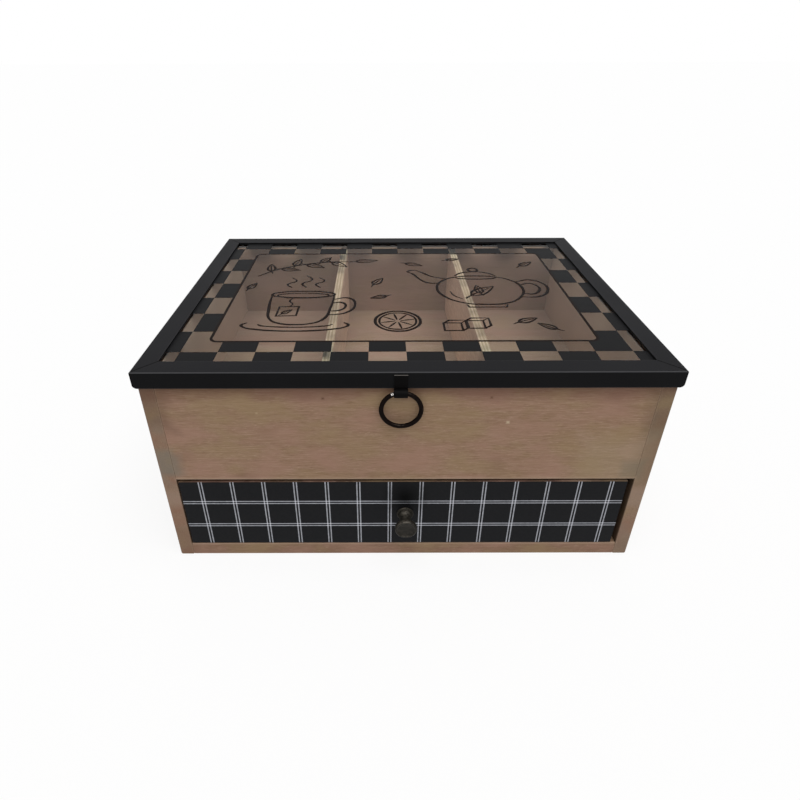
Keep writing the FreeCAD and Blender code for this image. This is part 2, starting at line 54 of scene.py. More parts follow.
# %% [markdown]
# ## Colours and nodes
#
# Colours are written as sRGB hex codes, as a picture editor shows them. Blender's sockets want
# linear light, so one function turns them. A second function adds a shader node, sets it up and
# links it. A third lays one colour over another where some value is high or low, which is how
# nearly every finish below is built up: a ground first, then stain, wear and dirt over it.

# %% Helpers for every material
# A Mix node's sockets for numbers and colours share their names, so these three go by number.
MIX_SHARE, MIX_UNDER, MIX_OVER = 0, 6, 7


def linear(code):
    """An sRGB hex code as linear red, green, blue and a full alpha."""
    steps = [int(code[at:at + 2], 16) / 255 for at in (0, 2, 4)]
    return tuple(s / 12.92 if s <= 0.04045 else ((s + 0.055) / 1.055) ** 2.4 for s in steps) + (1.0,)


def add(owner, kind, inputs=None, **settings):
    """Add a node. An input takes a number, a hex colour, a socket, or a node for its first live output."""
    tree = owner.node_tree
    node = tree.nodes.new("ShaderNode" + kind)
    for name, value in settings.items():
        setattr(node, name, value)
    for name, value in (inputs or {}).items():
        if isinstance(value, bpy.types.Node):
            value = next(socket for socket in value.outputs if socket.enabled)
        if isinstance(value, bpy.types.NodeSocket):
            tree.links.new(value, node.inputs[name])
        else:
            node.inputs[name].default_value = linear(value) if isinstance(value, str) else value
    return node


def painted(owner, under, over, value, start, full, most=1.0):
    """One colour laid over another: nothing where value is at start, rising to most where it is at full."""
    share = add(owner, "MapRange", {"Value": value, "From Min": start, "From Max": full, "To Max": most})
    return add(owner, "Mix", {MIX_SHARE: share, MIX_UNDER: under, MIX_OVER: over}, data_type="RGBA")


def material(name):
    """A new, empty material."""
    made = bpy.data.materials.new(name)
    made.use_nodes = True
    made.node_tree.nodes.clear()
    return made


print("linear mid grey:", [round(part, 3) for part in linear("808080")])

# %% [markdown]
# ## Camera
#
# The camera could be placed by eye, but every edge would then be a little off. It was fitted
# to the straight edges of the box instead: a short lens, close by, looking 30 degrees down.
# The picture's middle isn't the lens's middle, so a small shift makes it up.

# %% Camera
PICTURE_PIXELS = 800
FOCAL_PIXELS = 551.67
LENS_MIDDLE_PIXELS = (378.63, 361.01)
CAMERA_PLACE_MM = (-12.26, -293.36, 236.91)
CAMERA_TURN_DEGREES = (59.763, 0.187, 0.022)
NEAREST_SEEN_MM = 10

bpy.ops.object.camera_add(
    location=[length * MM for length in CAMERA_PLACE_MM],
    rotation=[math.radians(angle) for angle in CAMERA_TURN_DEGREES],
)
camera = bpy.context.object
lens = camera.data
lens.lens = FOCAL_PIXELS / PICTURE_PIXELS * lens.sensor_width
lens.shift_x = 0.5 - LENS_MIDDLE_PIXELS[0] / PICTURE_PIXELS
lens.shift_y = LENS_MIDDLE_PIXELS[1] / PICTURE_PIXELS - 0.5
lens.clip_start = NEAREST_SEEN_MM * MM
bpy.context.scene.camera = camera
bpy.context.scene.view_settings.view_transform = "Standard"
print("lens: %.1f mm, shift %.3f %.3f" % (lens.lens, lens.shift_x, lens.shift_y))

# %% [markdown]
# ## Studio light and floor
#
# Product pictures like this are taken under one large soft box. A sun lamp with a very wide
# angle does the same with soft shadows. The sky gives an even fill. The eye, mirrors and glass
# see it as white, and lamps and floor together light a pale surface to about its own colour.

# %% Lamp and sky
SUN_STRENGTH = 2.45
SUN_SOFT_DEGREES = 60
SUN_TURN_DEGREES = (20, 6, 0)
SKY_FILL = 0.30


def seen_directly(owner):
    """One where the camera, a mirror or a pane looks straight at this surface, and nought elsewhere."""
    ray = add(owner, "LightPath").outputs
    looked_at = add(owner, "Math", {0: ray["Is Camera Ray"], 1: ray["Is Glossy Ray"]}, operation="MAXIMUM")
    return add(owner, "Math", {0: looked_at, 1: ray["Is Transmission Ray"]}, operation="MAXIMUM")


bpy.ops.object.light_add(type="SUN", rotation=[math.radians(angle) for angle in SUN_TURN_DEGREES])
sun = bpy.context.object
sun.name = "soft_box"
sun.data.energy = SUN_STRENGTH
sun.data.angle = math.radians(SUN_SOFT_DEGREES)

sky = bpy.data.worlds.new("white studio")
sky.use_nodes = True
sky.node_tree.nodes.clear()
bpy.context.scene.world = sky
sky_mix = {MIX_SHARE: seen_directly(sky), MIX_UNDER: (SKY_FILL,) * 3 + (1,), MIX_OVER: "FFFFFF"}
sky_light = add(sky, "Background", {"Color": add(sky, "Mix", sky_mix, data_type="RGBA")})
add(sky, "OutputWorld", {"Surface": sky_light})
print("sun: %.2f W/m2, sky %.2f" % (sun.data.energy, SKY_FILL))

# %% Floor
FLOOR_WIDE_M = 14
FLOOR_GLOW_SHARE = 0.8

# White paper sweep: matt, and lifted towards pure white only where it is looked at,
# so the shadow under the box stays.
paper = material("white paper sweep")
paper_matt = add(paper, "BsdfDiffuse", {"Color": "F7F7F7"})
paper_glow = add(paper, "Emission", {"Color": "FFFFFF"})
glow_share = add(paper, "Math", {0: seen_directly(paper), 1: FLOOR_GLOW_SHARE}, operation="MULTIPLY")
paper_mix = add(paper, "MixShader", {0: glow_share, 1: paper_matt, 2: paper_glow})
add(paper, "OutputMaterial", {"Surface": paper_mix})

bpy.ops.mesh.primitive_plane_add(size=FLOOR_WIDE_M)
floor = bpy.context.object
floor.name = "studio_floor"
floor.data.materials.append(paper)
print("floor:", FLOOR_WIDE_M, "m wide")

# %% [markdown]
# ## Looking at shape and place
#
# A finish changes with where it is: corners are rubbed and sawn ends drink more stain. The
# inside is lighter than the outside, which is painted light. That could be painted by hand on an
# unwrapped mesh. Here these helpers give a node's output that tells how sharp, which way round,
# or how far from a box-shaped place the surface is, so a finish fits any piece that it is put on.

# %% Helpers for grain
def along(grain, lengthways, crossways):
    """Three numbers: one for the axis along the grain, and another for the two axes across it."""
    return tuple(lengthways if axis == grain else crossways for axis in "XYZ")


def streaks(owner, place, grain, long_mm, wide_mm, detail=2.0, roughness=0.5):
    """Soft noise that is drawn out along the grain."""
    scale = along(grain, 1 / (long_mm * MM), 1 / (wide_mm * MM))
    drawn = add(owner, "Mapping", {"Vector": place, "Scale": scale})
    return add(owner, "TexNoise", {"Vector": drawn, "Scale": 1.0, "Detail": detail, "Roughness": roughness})


print("grain along Y, as three numbers:", along("Y", 1, 0))

# %% Helpers for wear and place
# How alike the rounded and the true normal are where a corner's wear starts, and where it is full.
CORNER_STARTS, CORNER_FULL = 0.99, 0.86


def rubbed_edges(owner, under, over, radius_mm, most):
    """Another colour where the surface turns a sharp corner, found with Bevel's rounded normal."""
    rounded = add(owner, "Bevel", {"Radius": radius_mm * MM}, samples=4)
    flat = add(owner, "NewGeometry").outputs["Normal"]
    likeness = add(owner, "VectorMath", {0: rounded, 1: flat}, operation="DOT_PRODUCT")
    return painted(owner, under, over, likeness, CORNER_STARTS, CORNER_FULL, most)


def facing(owner, direction):
    """How squarely a surface faces a direction: one when it does, minus one when it faces away."""
    normal = add(owner, "TexCoord").outputs["Normal"]
    return add(owner, "VectorMath", {0: normal, 1: direction}, operation="DOT_PRODUCT")


def facing_along(owner, axis):
    """How squarely a surface faces either way along an axis, from nought to one."""
    return add(owner, "Math", {0: facing(owner, along(axis, 1, 0))}, operation="ABSOLUTE")


def outside(owner, place, low_mm, high_mm):
    """How far in metres a place lies outside a box, and less than nought inside it."""
    middle = [(low + high) / 2 * MM for low, high in zip(low_mm, high_mm)]
    half = [(high - low) / 2 * MM for low, high in zip(low_mm, high_mm)]
    from_middle = add(owner, "VectorMath", {0: place, 1: middle}, operation="SUBTRACT")
    length = add(owner, "VectorMath", {0: from_middle}, operation="ABSOLUTE")
    past_sides = add(owner, "VectorMath", {0: length, 1: half}, operation="SUBTRACT")
    past = add(owner, "SeparateXYZ", {0: past_sides}).outputs
    sideways = add(owner, "Math", {0: past["X"], 1: past["Y"]}, operation="MAXIMUM")
    return add(owner, "Math", {0: sideways, 1: past["Z"]}, operation="MAXIMUM")


print("wear starts where a corner turns the normal by %.0f degrees" % math.degrees(math.acos(CORNER_STARTS)))

# %% [markdown]
# ## Stained wood
#
# The boards are a soft pale hardwood, planed, rubbed with a thin grey-brown stain and left
# matt. A flat grain pattern on each face would break at the corners. Real boards are cut from a
# round trunk, so the material is solid: growth rings run round an axis beside the board, and
# fibres run along it. The long faces then show stripes, and the sawn ends show arcs and drink
# more stain, with no seam where the two meet.

# %% Patterns in a board
# Real fibres and pores are under a tenth of a millimetre wide. They are drawn coarser, so that they show.
FIBRE_MM, FIBRE_LONG_MM = 0.5, 8
FLECK_MM, FLECK_LONG_MM = 0.4, 2.4
BAND_MM, BAND_LONG_MM = 4.5, 60
CLOUD_MM, CLOUD_LONG_MM = 17, 30
POOL_MM, POOL_LONG_MM = 21, 26
RING_MM = 4.2
RING_DRIFT = 0.12  # how fast the rings change along the grain, next to across it
WAVE_TURN = math.pi / 10  # a Wave texture of scale 1 repeats after this many units


def growth_rings(owner, place, grain, pith_mm):
    """Rings round the trunk's pith, an axis that runs along the grain through pith_mm."""
    pith = [length * MM for length in pith_mm]
    from_pith = add(owner, "VectorMath", {0: place, 1: pith}, operation="SUBTRACT")
    drawn = add(owner, "Mapping", {"Vector": from_pith, "Scale": along(grain, RING_DRIFT, 1)})
    waves = {
        "Vector": drawn,
        "Scale": WAVE_TURN / (RING_MM * MM),
        "Distortion": 5.0,
        "Detail": 2.0,
        "Detail Scale": 0.35,
        "Detail Roughness": 0.55,
    }
    kind = {"wave_type": "RINGS", "rings_direction": grain, "wave_profile": "SAW"}
    return add(owner, "TexWave", waves, **kind).outputs["Fac"]


def board_patterns(owner, place, grain, pith_mm, seed):
    """What grows or is rubbed into a board, each as a value from nought to one."""
    shifted = add(owner, "VectorMath", {0: place, 1: (seed, seed, seed)}, operation="ADD")
    return {
        "fibre": streaks(owner, shifted, grain, FIBRE_LONG_MM, FIBRE_MM, 4.0, 0.62),
        "fleck": streaks(owner, shifted, grain, FLECK_LONG_MM, FLECK_MM),
        "band": streaks(owner, shifted, grain, BAND_LONG_MM, BAND_MM, 2.0, 0.6),
        "cloud": streaks(owner, shifted, grain, CLOUD_LONG_MM, CLOUD_MM, 3.0, 0.55),
        "pool": streaks(owner, shifted, grain, POOL_LONG_MM, POOL_MM),
        "rings": growth_rings(owner, place, grain, pith_mm),
    }


print("a growth ring every %.1f mm, fibres %.1f mm wide" % (RING_MM, FIBRE_MM))

# %% Layers of stain
# Each layer: its colour, the pattern that places it, where that starts and is full, and how strong it is.
FACE_LAYERS = (
    ("6E503C", "rings", 0.5, 1.0, 0.14),
    ("654838", "fleck", 0.58, 0.74, 0.4),
    ("AE957F", "fleck", 0.42, 0.27, 0.38),
    # The stain took unevenly: olive where it lay thin, rosy where it was rubbed, dark where it stood.
    ("8D7857", "cloud", 0.5, 0.66, 0.5),
    ("967464", "cloud", 0.53, 0.36, 0.6),
    ("745646", "pool", 0.6, 0.74, 0.3),
)
# The sawn end drinks more stain, and goes red, yellow and grey in patches.
END_LAYERS = (
    ("7F5C4A", "cloud", 0.56, 0.4, 0.6),
    ("857252", "cloud", 0.57, 0.7, 0.5),
    ("7A7064", "pool", 0.56, 0.64, 0.35),
)


def layered(owner, colour, layers, patterns):
    """Lay each layer of a list over a colour."""
    for over, pattern, start, full, most in layers:
        colour = painted(owner, colour, over, patterns[pattern], start, full, most)
    return colour


print("layers of stain:", len(FACE_LAYERS), "on a face and", len(END_LAYERS), "on a sawn end")

# %% [markdown]
# ## Places in the stain
#
# A hand rubs the stain on and wipes it off, so it differs from place to place: pale beside the
# drawer, grey over squeezed-out glue. Painted shade is listed here too: dark under the skirt.
# Such marks could be brushed onto a picture, but a short list of box-shaped places with soft,
# ragged ends says the same, and each can be moved by a millimetre.

# %% Places in the stain
# Each: colour, the place's lowest and highest corner, how softly it ends, and how strong it is.
STAIN_AND_SHADE_PLACES_MM = (
    # Painted shade under the lid's skirt. The sawn ends are dark towards their tops, and in a patch lower
    # down on the right.
    ("502F22", (-130, -100, 101.5), (130, 100, 120), 9, 0.5),
    ("5A4232", (-119, -92, 87), (-111.7, -90.4, 100), 14, 0.65),
    ("5A4A34", (111.7, -92, 84), (119, -90.4, 100), 16, 0.6),
    ("65543F", (111.7, -92, 50), (119, -90.4, 80), 12, 0.5),
    # The sawn ends are pale half-way down the drawer, and dark at the foot.
    ("9D8D7E", (-119, -92, 37), (-111.7, -90.4, 43), 9, 0.35),
    ("9D8D7E", (111.7, -92, 36), (119, -90.4, 44), 10, 0.35),
    ("6B4F3D", (-119, -92, 0), (-111.7, -90.4, 17), 10, 0.5),
    ("6B5340", (111.7, -92, 0), (119, -90.4, 8), 9, 0.4),
    # It is thin and greenish at the right end of the front board.
    ("9B8C72", (88, -92, 56), (108, -90, 72), 26, 0.4),
    # Glue that was squeezed out at the corner joints took the stain grey.
    ("726E63", (-117, -92, 57), (-111.7, -90.4, 69), 7, 0.75),
    ("746A5D", (-112, -92, 57), (-108.5, -90.4, 66), 7, 0.6),
    ("6B6454", (105, -92, 54), (111.7, -90.4, 61), 8, 0.55),
    # Edges beside the drawer are rubbed pale.
    ("AC9481", (-111.6, -92, 52), (111.6, -90, 52.9), 1.8, 0.35),
    ("AC9481", (-111.6, -92, 7.4), (111.6, -90, 8), 1.8, 0.35),
    # Pin knots, two pale and two dark.
    ("C2AF8E", (-67.9, -92, 91.6), (-67.7, -90, 91.8), 1.9, 0.6),
    ("CDBD9F", (45.9, -92, 86.2), (46.1, -90, 86.4), 1.9, 0.7),
    ("4E3524", (-37.7, -92, 99.5), (-37.4, -90, 99.7), 1.3, 0.8),
    ("4E3524", (37.2, -92, 99.8), (37.4, -90, 100), 1.3, 0.7),
)
PLACE_FULL_SHARE = 0.35  # a place is at its strongest where this share of its soft edge is left


def stained_and_shaded_in_places(owner, colour, place, cloud):
    """The marks in the list, with edges that the cloud makes ragged."""
    for over, low_mm, high_mm, soft_mm, most in STAIN_AND_SHADE_PLACES_MM:
        away = outside(owner, place, low_mm, high_mm)
        ragged = add(owner, "Math", {0: cloud, 1: soft_mm * MM, 2: away}, operation="MULTIPLY_ADD")
        colour = painted(owner, colour, over, ragged, soft_mm * MM, PLACE_FULL_SHARE * soft_mm * MM, most)
    return colour


print("marks in the stain:", len(STAIN_AND_SHADE_PLACES_MM))

# %% Inner walls
INSIDE_MM = (-111.6, -83.6, 53), (111.6, 83.6, 120)
OPENING_MM = (-111.6, -100, 7), (111.6, 100, 52.2)
WALL_SOFT_MM = 0.3
# Painted light in the compartments, all round and more on walls that face sideways; painted shade on the
# sides of the drawer's opening.
PAINTED_LIGHT_ALL_ROUND, PAINTED_LIGHT_AT_SIDES, PAINTED_SHADE_BY_DRAWER = 0.2, 0.6, 0.75


def inner_walls_painted_light_and_shade(owner, colour, clean, place):
    """No marks and painted light in the compartments, most on walls that face sideways, and painted shade on
    the sides of the drawer's opening.
    """
    in_compartments = outside(owner, place, *INSIDE_MM)
    in_opening = outside(owner, place, *OPENING_MM)
    sideways = facing_along(owner, "X")
    painted_light_share = add(owner, "Math", {0: sideways, 1: PAINTED_LIGHT_AT_SIDES, 2: PAINTED_LIGHT_ALL_ROUND}, operation="MULTIPLY_ADD")
    painted_shade_share = add(owner, "Math", {0: sideways, 1: PAINTED_SHADE_BY_DRAWER}, operation="MULTIPLY")
    colour = painted(owner, colour, clean, in_compartments, WALL_SOFT_MM * MM, 0)
    colour = painted(owner, colour, "D2BDA9", in_compartments, WALL_SOFT_MM * MM, 0, painted_light_share)
    return painted(owner, colour, "35281A", in_opening, WALL_SOFT_MM * MM, 0, painted_shade_share)


print("compartments: %.0f mm from wall to wall" % (INSIDE_MM[1][0] - INSIDE_MM[0][0]))

# %% Stained wood
SANDED_MM, SANDED_MOST = 0.9, 0.45


def stained_wood(name, grain, pith_mm, light="957A65", dark="83674F", worn="A8907C", bands=0.16, seed=0.0):
    """Poplar with a thin stain: faint fibres and rings, a dry matt face and pale sanded corners."""
    made = material(name)
    place = add(made, "TexCoord").outputs["Object"]
    patterns = board_patterns(made, place, grain, pith_mm, seed)
    fibre = patterns["fibre"]

    body = painted(made, light, dark, fibre, 0.34, 0.66)
    banded = painted(made, body, "6F5342", patterns["band"], 0.5, 0.72, bands)
    face = layered(made, banded, FACE_LAYERS, patterns)
    pores = painted(made, "8B725E", "765F4D", patterns["fleck"], 0.35, 0.7)
    sawn_end = layered(made, pores, END_LAYERS, patterns)
    clean = painted(made, face, sawn_end, facing_along(made, grain), 0.5, 0.9, 0.9)
    marked = stained_and_shaded_in_places(made, clean, place, patterns["cloud"])
    colour = inner_walls_painted_light_and_shade(made, marked, clean, place)
    sanded = rubbed_edges(made, colour, worn, SANDED_MM, SANDED_MOST)

    raised = add(made, "Math", {0: fibre, 1: 0.5, 2: patterns["rings"]}, operation="MULTIPLY_ADD")
    bump = add(made, "Bump", {"Height": raised, "Strength": 0.2, "Distance": 0.1 * MM})
    rough = add(made, "MapRange", {"Value": fibre, "To Min": 0.58, "To Max": 0.76})
    shader = add(
        made, "BsdfPrincipled",
        {"Base Color": sanded, "Roughness": rough, "Normal": bump, "Specular IOR Level": 0.22},
    )
    add(made, "OutputMaterial", {"Surface": shader})
    return made


# %% Boards
SEED_STEP = 1.7  # each board is cut from another part of the noise


def dress(finish, *names):
    """Give CAD nodes a material."""
    for name in names:
        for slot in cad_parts[name].material_slots:
            slot.material = finish


for board, grain, pith_mm, tones in (
    ("front_panel", "X", (0, -55, -25), {}),
    ("back_panel", "X", (0, 60, -30), {"bands": 0.45}),
    ("bottom_board", "X", (0, -20, -60), {"light": "8A6E59", "dark": "775B48"}),
    ("left_side_panel", "Y", (-96, 0, 180), {}),
    ("right_side_panel", "Y", (150, 0, 15), {}),
    # The shelf is lighter than the other boards: painted light on the compartments' floor.
    ("shelf_board", "X", (0, -30, -75), {"light": "A38D7A", "dark": "87715F", "bands": 0.3}),
    # The drawer front's wood is dark: painted shade for the gaps round the drawer, where its edges show.
    ("drawer_front", "X", (0, -50, 90), {"light": "4C362B", "dark": "3A2920", "worn": "553C30"}),
):
    seed = SEED_STEP * len(bpy.data.materials)
    wood = stained_wood("stained poplar, " + board.replace("_", " "), grain, pith_mm, seed=seed, **tones)
    dress(wood, board)
print("wood materials:", len([m for m in bpy.data.materials if "poplar" in m.name]))

# %% [markdown]
# ## Raw plywood
#
# The dividers and the drawer's inside are thin plywood. A cut edge shows the plies as pale and
# darker stripes with glue between, and the flat faces show fine, long fibres. Each ply could be
# a sheet of its own, but stripes that are counted from the board's middle look the same.

# %% Raw plywood
PLY_MM = 0.8
PLY_FIBRE_MM = 0.7  # drawn coarser than real fibres, so that they show


def plywood(name, grain, thick, middle_mm, light, dark):
    """Dry birch plywood: thick is the axis across its plies, and middle_mm is where its middle is."""
    made = material(name)
    place = add(made, "TexCoord").outputs["Object"]
    fibre = streaks(made, place, grain, FIBRE_LONG_MM, PLY_FIBRE_MM, 3.0, 0.55)
    flat_face = painted(made, light, dark, fibre, 0.35, 0.65)

    # The glue lines between the plies wander a little with the fibres.
    across = add(made, "SeparateXYZ", {0: place}).outputs[thick]
    from_middle = add(made, "Math", {0: across, 1: middle_mm * MM}, operation="SUBTRACT")
    plies = add(made, "Math", {0: from_middle, 1: PLY_MM * MM}, operation="DIVIDE")
    wandering = add(made, "Math", {0: fibre, 1: 0.5, 2: plies}, operation="MULTIPLY_ADD")
    turn = add(made, "Math", {0: wandering, 1: 1.0}, operation="PINGPONG")
    striped = painted(made, "D6C8AE", "AD9D80", turn, 0.3, 0.62)
    cut_edge = painted(made, striped, "AF9F84", fibre, 0.4, 0.7)
    colour = painted(made, cut_edge, flat_face, facing_along(made, thick), 0.6, 0.9)

    bump = add(made, "Bump", {"Height": fibre, "Strength": 0.2, "Distance": 0.1 * MM})
    shader = add(
        made, "BsdfPrincipled",
        {"Base Color": colour, "Roughness": 0.7, "Normal": bump, "Specular IOR Level": 0.2},
    )
    add(made, "OutputMaterial", {"Surface": shader})
    return made


# %% Plywood pieces
DRAWER_PLYWOOD = ("A08A70", "8C765E")

for board, grain, thick, tones in (
    # The dividers' faces get a very pale plywood, the right one lighter still: painted light on the faces
    # seen in the compartments.
    ("divider_left", "Y", "X", ("EBD3BC", "D3B79D")),
    ("divider_right", "Y", "X", ("F0D8C2", "D8BCA3")),
    ("drawer_side_left", "Y", "X", DRAWER_PLYWOOD),
    ("drawer_side_right", "Y", "X", DRAWER_PLYWOOD),
    ("drawer_back", "X", "Y", DRAWER_PLYWOOD),
    ("drawer_bottom", "X", "Z", DRAWER_PLYWOOD),
):
    low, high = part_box(board)
    at = "XYZ".index(thick)
    middle_mm = (low[at] + high[at]) / 2 / MM
    dress(plywood("birch plywood, " + board.replace("_", " "), grain, thick, middle_mm, *tones), board)
    print(board, "middle at %.1f mm" % middle_mm)

# %% [markdown]
# ## Black enamel
#
# The lid frame, pull tab and hinges are folded sheet steel with a thin matt black enamel. It
# reflects very little and has a faint orange-peel. A painted sheen lies on its level faces, and a
# painted highlight in a greyer colour along its folds. The four lengths of the frame meet in
# mitres. A real gap there would be too thin to render well, so the enamel has a dark hairline at each.

# %% Mitre joints
HAIRLINE_MM = 0.6

frame_half_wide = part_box("lid_frame_right")[1].x
frame_half_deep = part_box("lid_frame_back")[1].y


def from_mitre(owner, place):
    """How far in metres, along X, a place is from the nearest of the frame's four mitre joints."""
    spread = add(owner, "VectorMath", {0: place}, operation="ABSOLUTE")
    half = add(owner, "SeparateXYZ", {0: spread}).outputs
    diagonal = add(owner, "Math", {0: half["X"], 1: half["Y"]}, operation="SUBTRACT")
    beside = add(owner, "Math", {0: diagonal, 1: frame_half_wide - frame_half_deep}, operation="SUBTRACT")
    return add(owner, "Math", {0: beside}, operation="ABSOLUTE")


print("mitres run from the corners of %.1f x %.1f mm" % (2 * frame_half_wide / MM, 2 * frame_half_deep / MM))

# %% Black enamel
PEEL_MM = 0.9
DUST_MM = 45
CHIPPED_MM = 0.6
HIGHLIGHT_SOFT_MM, HIGHLIGHT_BELOW_MM = 0.15, 0.05


def black_enamel(
    name, colour="141415", level_sheen="1E1E20", wear_and_highlight="48484A", edges=0.4, fold_highlight=0.0, mitred=False, highlight_above=None
):
    """Satin black enamel on steel: greyer on worn edges, with a painted sheen on level faces, a painted
    highlight along each fold, and a painted highlight line above a height.
    """
    made = material(name)
    place = add(made, "TexCoord").outputs["Object"]
    peel = add(made, "TexNoise", {"Vector": place, "Scale": 1 / (PEEL_MM * MM)})
    cloud = add(made, "TexNoise", {"Vector": place, "Scale": 1 / (DUST_MM * MM), "Detail": 3.0})
    coat = painted(made, colour, "1A1A1B", cloud, 0.35, 0.75, 0.5)
    up = facing(made, along("Z", 1, 0))
    # A painted sheen on level faces, which face the light.
    coat = painted(made, coat, level_sheen, up, 0.7, 0.95)
    coat = rubbed_edges(made, coat, wear_and_highlight, CHIPPED_MM, edges)
    # A fold is where the face turns from level to upright: up times (one minus up) is highest there.
    tilt = add(made, "Math", {0: 1.0, 1: up}, operation="SUBTRACT")
    turning = add(made, "Math", {0: up, 1: tilt}, operation="MULTIPLY")
    # A painted highlight along the folds, where a bend would catch the light.
    coat = painted(made, coat, wear_and_highlight, turning, 0.06, 0.18, fold_highlight)
    if mitred:
        coat = painted(made, coat, "010101", from_mitre(made, place), HAIRLINE_MM * MM, HAIRLINE_MM / 2 * MM)
    # A painted highlight line on faces above a height.
    if highlight_above:
        height = add(made, "SeparateXYZ", {0: place}).outputs["Z"]
        starts, full = highlight_above - HIGHLIGHT_SOFT_MM * MM, highlight_above - HIGHLIGHT_BELOW_MM * MM
        coat = painted(made, coat, wear_and_highlight, height, starts, full)
    bump = add(made, "Bump", {"Height": peel, "Strength": 0.12, "Distance": 0.05 * MM})
    rough = add(made, "MapRange", {"Value": cloud, "To Min": 0.42, "To Max": 0.6})
    shader = add(
        made, "BsdfPrincipled",
        {"Base Color": coat, "Roughness": rough, "Normal": bump, "Specular IOR Level": 0.03},
    )
    add(made, "OutputMaterial", {"Surface": shader})
    return made


# %% Enamelled pieces
# On the frame a strong painted highlight runs along the folds, and the mitres show.
frame_enamel = black_enamel(
    "black enamel on the folded frame", wear_and_highlight="4C4C4E", edges=0.45, fold_highlight=0.75, mitred=True
)
dress(frame_enamel, "lid_frame_front", "lid_frame_back", "lid_frame_left", "lid_frame_right")

# The tab's top edge gets a painted highlight: a light line where the edge catches the light.
tab_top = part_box("pull_tab")[1].z
tab_enamel = black_enamel(
    "black enamel on the pull tab", colour="0A0909", level_sheen="0A0909", wear_and_highlight="65615D", edges=0.0,
    highlight_above=tab_top,
)
dress(tab_enamel, "pull_tab")

# Hinges lie loose in a bag before they are fixed, so their edges are rubbed greyer than the frame's.
hinge_leaf_enamel = black_enamel("black enamel on hinges and clips", wear_and_highlight="626264", edges=0.6)
dress(
    hinge_leaf_enamel, "glass_clips", "hinge_leaf_box_left", "hinge_leaf_box_right", "hinge_leaf_lid_left",
    "hinge_leaf_lid_right", "hinge_pin_left", "hinge_pin_right",
)
finishes = [node.material_slots[0].material.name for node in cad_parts.values()]
print("enamel on", sum("enamel" in finish for finish in finishes), "pieces")

# %% [markdown]
# ## Glass
#
# A 2 mm pane of clear float glass. It could be refracting glass, but the lamps would reach the
# compartments only through slow caustics. So it is a see-through surface with a thin share of
# mirror that grows towards a grazing view, as a real pane's does. The middle of the pane has a
# thin film of smoke-grey lacquer, so its edge shows against the checked border.

# %% Mirror on the glass
VEIL_LEAST = 0.008
VEIL_GROWTH = 0.30
GLASS_IOR = 1.5
SMUDGE_MM = 55

glass = material("clear float glass")
glass_place = add(glass, "TexCoord").outputs["Object"]
glance = add(glass, "Fresnel", {"IOR": GLASS_IOR})
smudge = add(glass, "TexNoise", {"Vector": glass_place, "Scale": 1 / (SMUDGE_MM * MM)})
smudge_share = add(glass, "MapRange", {"Value": smudge, "To Min": 0.7, "To Max": 1.3})
veil = add(glass, "Math", {0: glance, 1: VEIL_GROWTH, 2: VEIL_LEAST}, operation="MULTIPLY_ADD")
inner_face = add(glass, "NewGeometry").outputs["Backfacing"]
outer_face = add(glass, "Math", {0: 1.0, 1: inner_face}, operation="SUBTRACT")
veil_outside = add(glass, "Math", {0: veil, 1: outer_face}, operation="MULTIPLY")
veil_uneven = add(glass, "Math", {0: veil_outside, 1: smudge_share}, operation="MULTIPLY")
straight_glance = ((GLASS_IOR - 1) / (GLASS_IOR + 1)) ** 2
print("glass veil looking straight down: %.3f" % (VEIL_LEAST + VEIL_GROWTH * straight_glance))

# %% Film on the glass
CLEAR_LEFT_MM, CLEAR_RIGHT_MM, CLEAR_HALF_DEEP_MM = -93.4, 92.5, 61.9
FILM_SOFT_MM = 0.1
ABOVE_LID_MM = 200

clear_low_mm = (CLEAR_LEFT_MM, -CLEAR_HALF_DEEP_MM, 0)
clear_high_mm = (CLEAR_RIGHT_MM, CLEAR_HALF_DEEP_MM, ABOVE_LID_MM)
from_clear = outside(glass, glass_place, clear_low_mm, clear_high_mm)
film = painted(glass, "FCFDFC", "F8F6F5", from_clear, FILM_SOFT_MM * MM, -FILM_SOFT_MM * MM)
see_through = add(glass, "BsdfTransparent", {"Color": film})
mirror = add(glass, "BsdfPrincipled", {"Base Color": "F4F6F6", "Metallic": 1.0, "Roughness": 0.06})
pane = add(glass, "MixShader", {0: veil_uneven, 1: see_through, 2: mirror})
add(glass, "OutputMaterial", {"Surface": pane})
dress(glass, "lid_glass")
print("clear middle: %.1f x %.1f mm" % (CLEAR_RIGHT_MM - CLEAR_LEFT_MM, 2 * CLEAR_HALF_DEEP_MM))

# %% [markdown]
# ## Plaid print
#
# The drawer's front carries a printed sheet: black, with pairs of thin pale lines that cross
# in squares. A picture of it would blur up close, and a formula stays sharp. The distance to
# the nearest pair is a zigzag of the place, and a line is drawn where that distance is half the
# space between the two lines. Where lines cross they look brighter, as two coats of ink do.
# A painted shadow of the knob darkens the print above and round it.

# %% Plaid lines
PLAID_PITCH_MM = 15.5
PLAID_PAIR_MM = 1.45
PLAID_LINE_MM = 0.56
PLAID_SOFT_MM = 0.12
PLAID_START_MM = {"X": -7.4, "Z": 37.0}
INK_GRAIN_MM = 1.2  # drawn coarser than a press leaves it, so that it shows

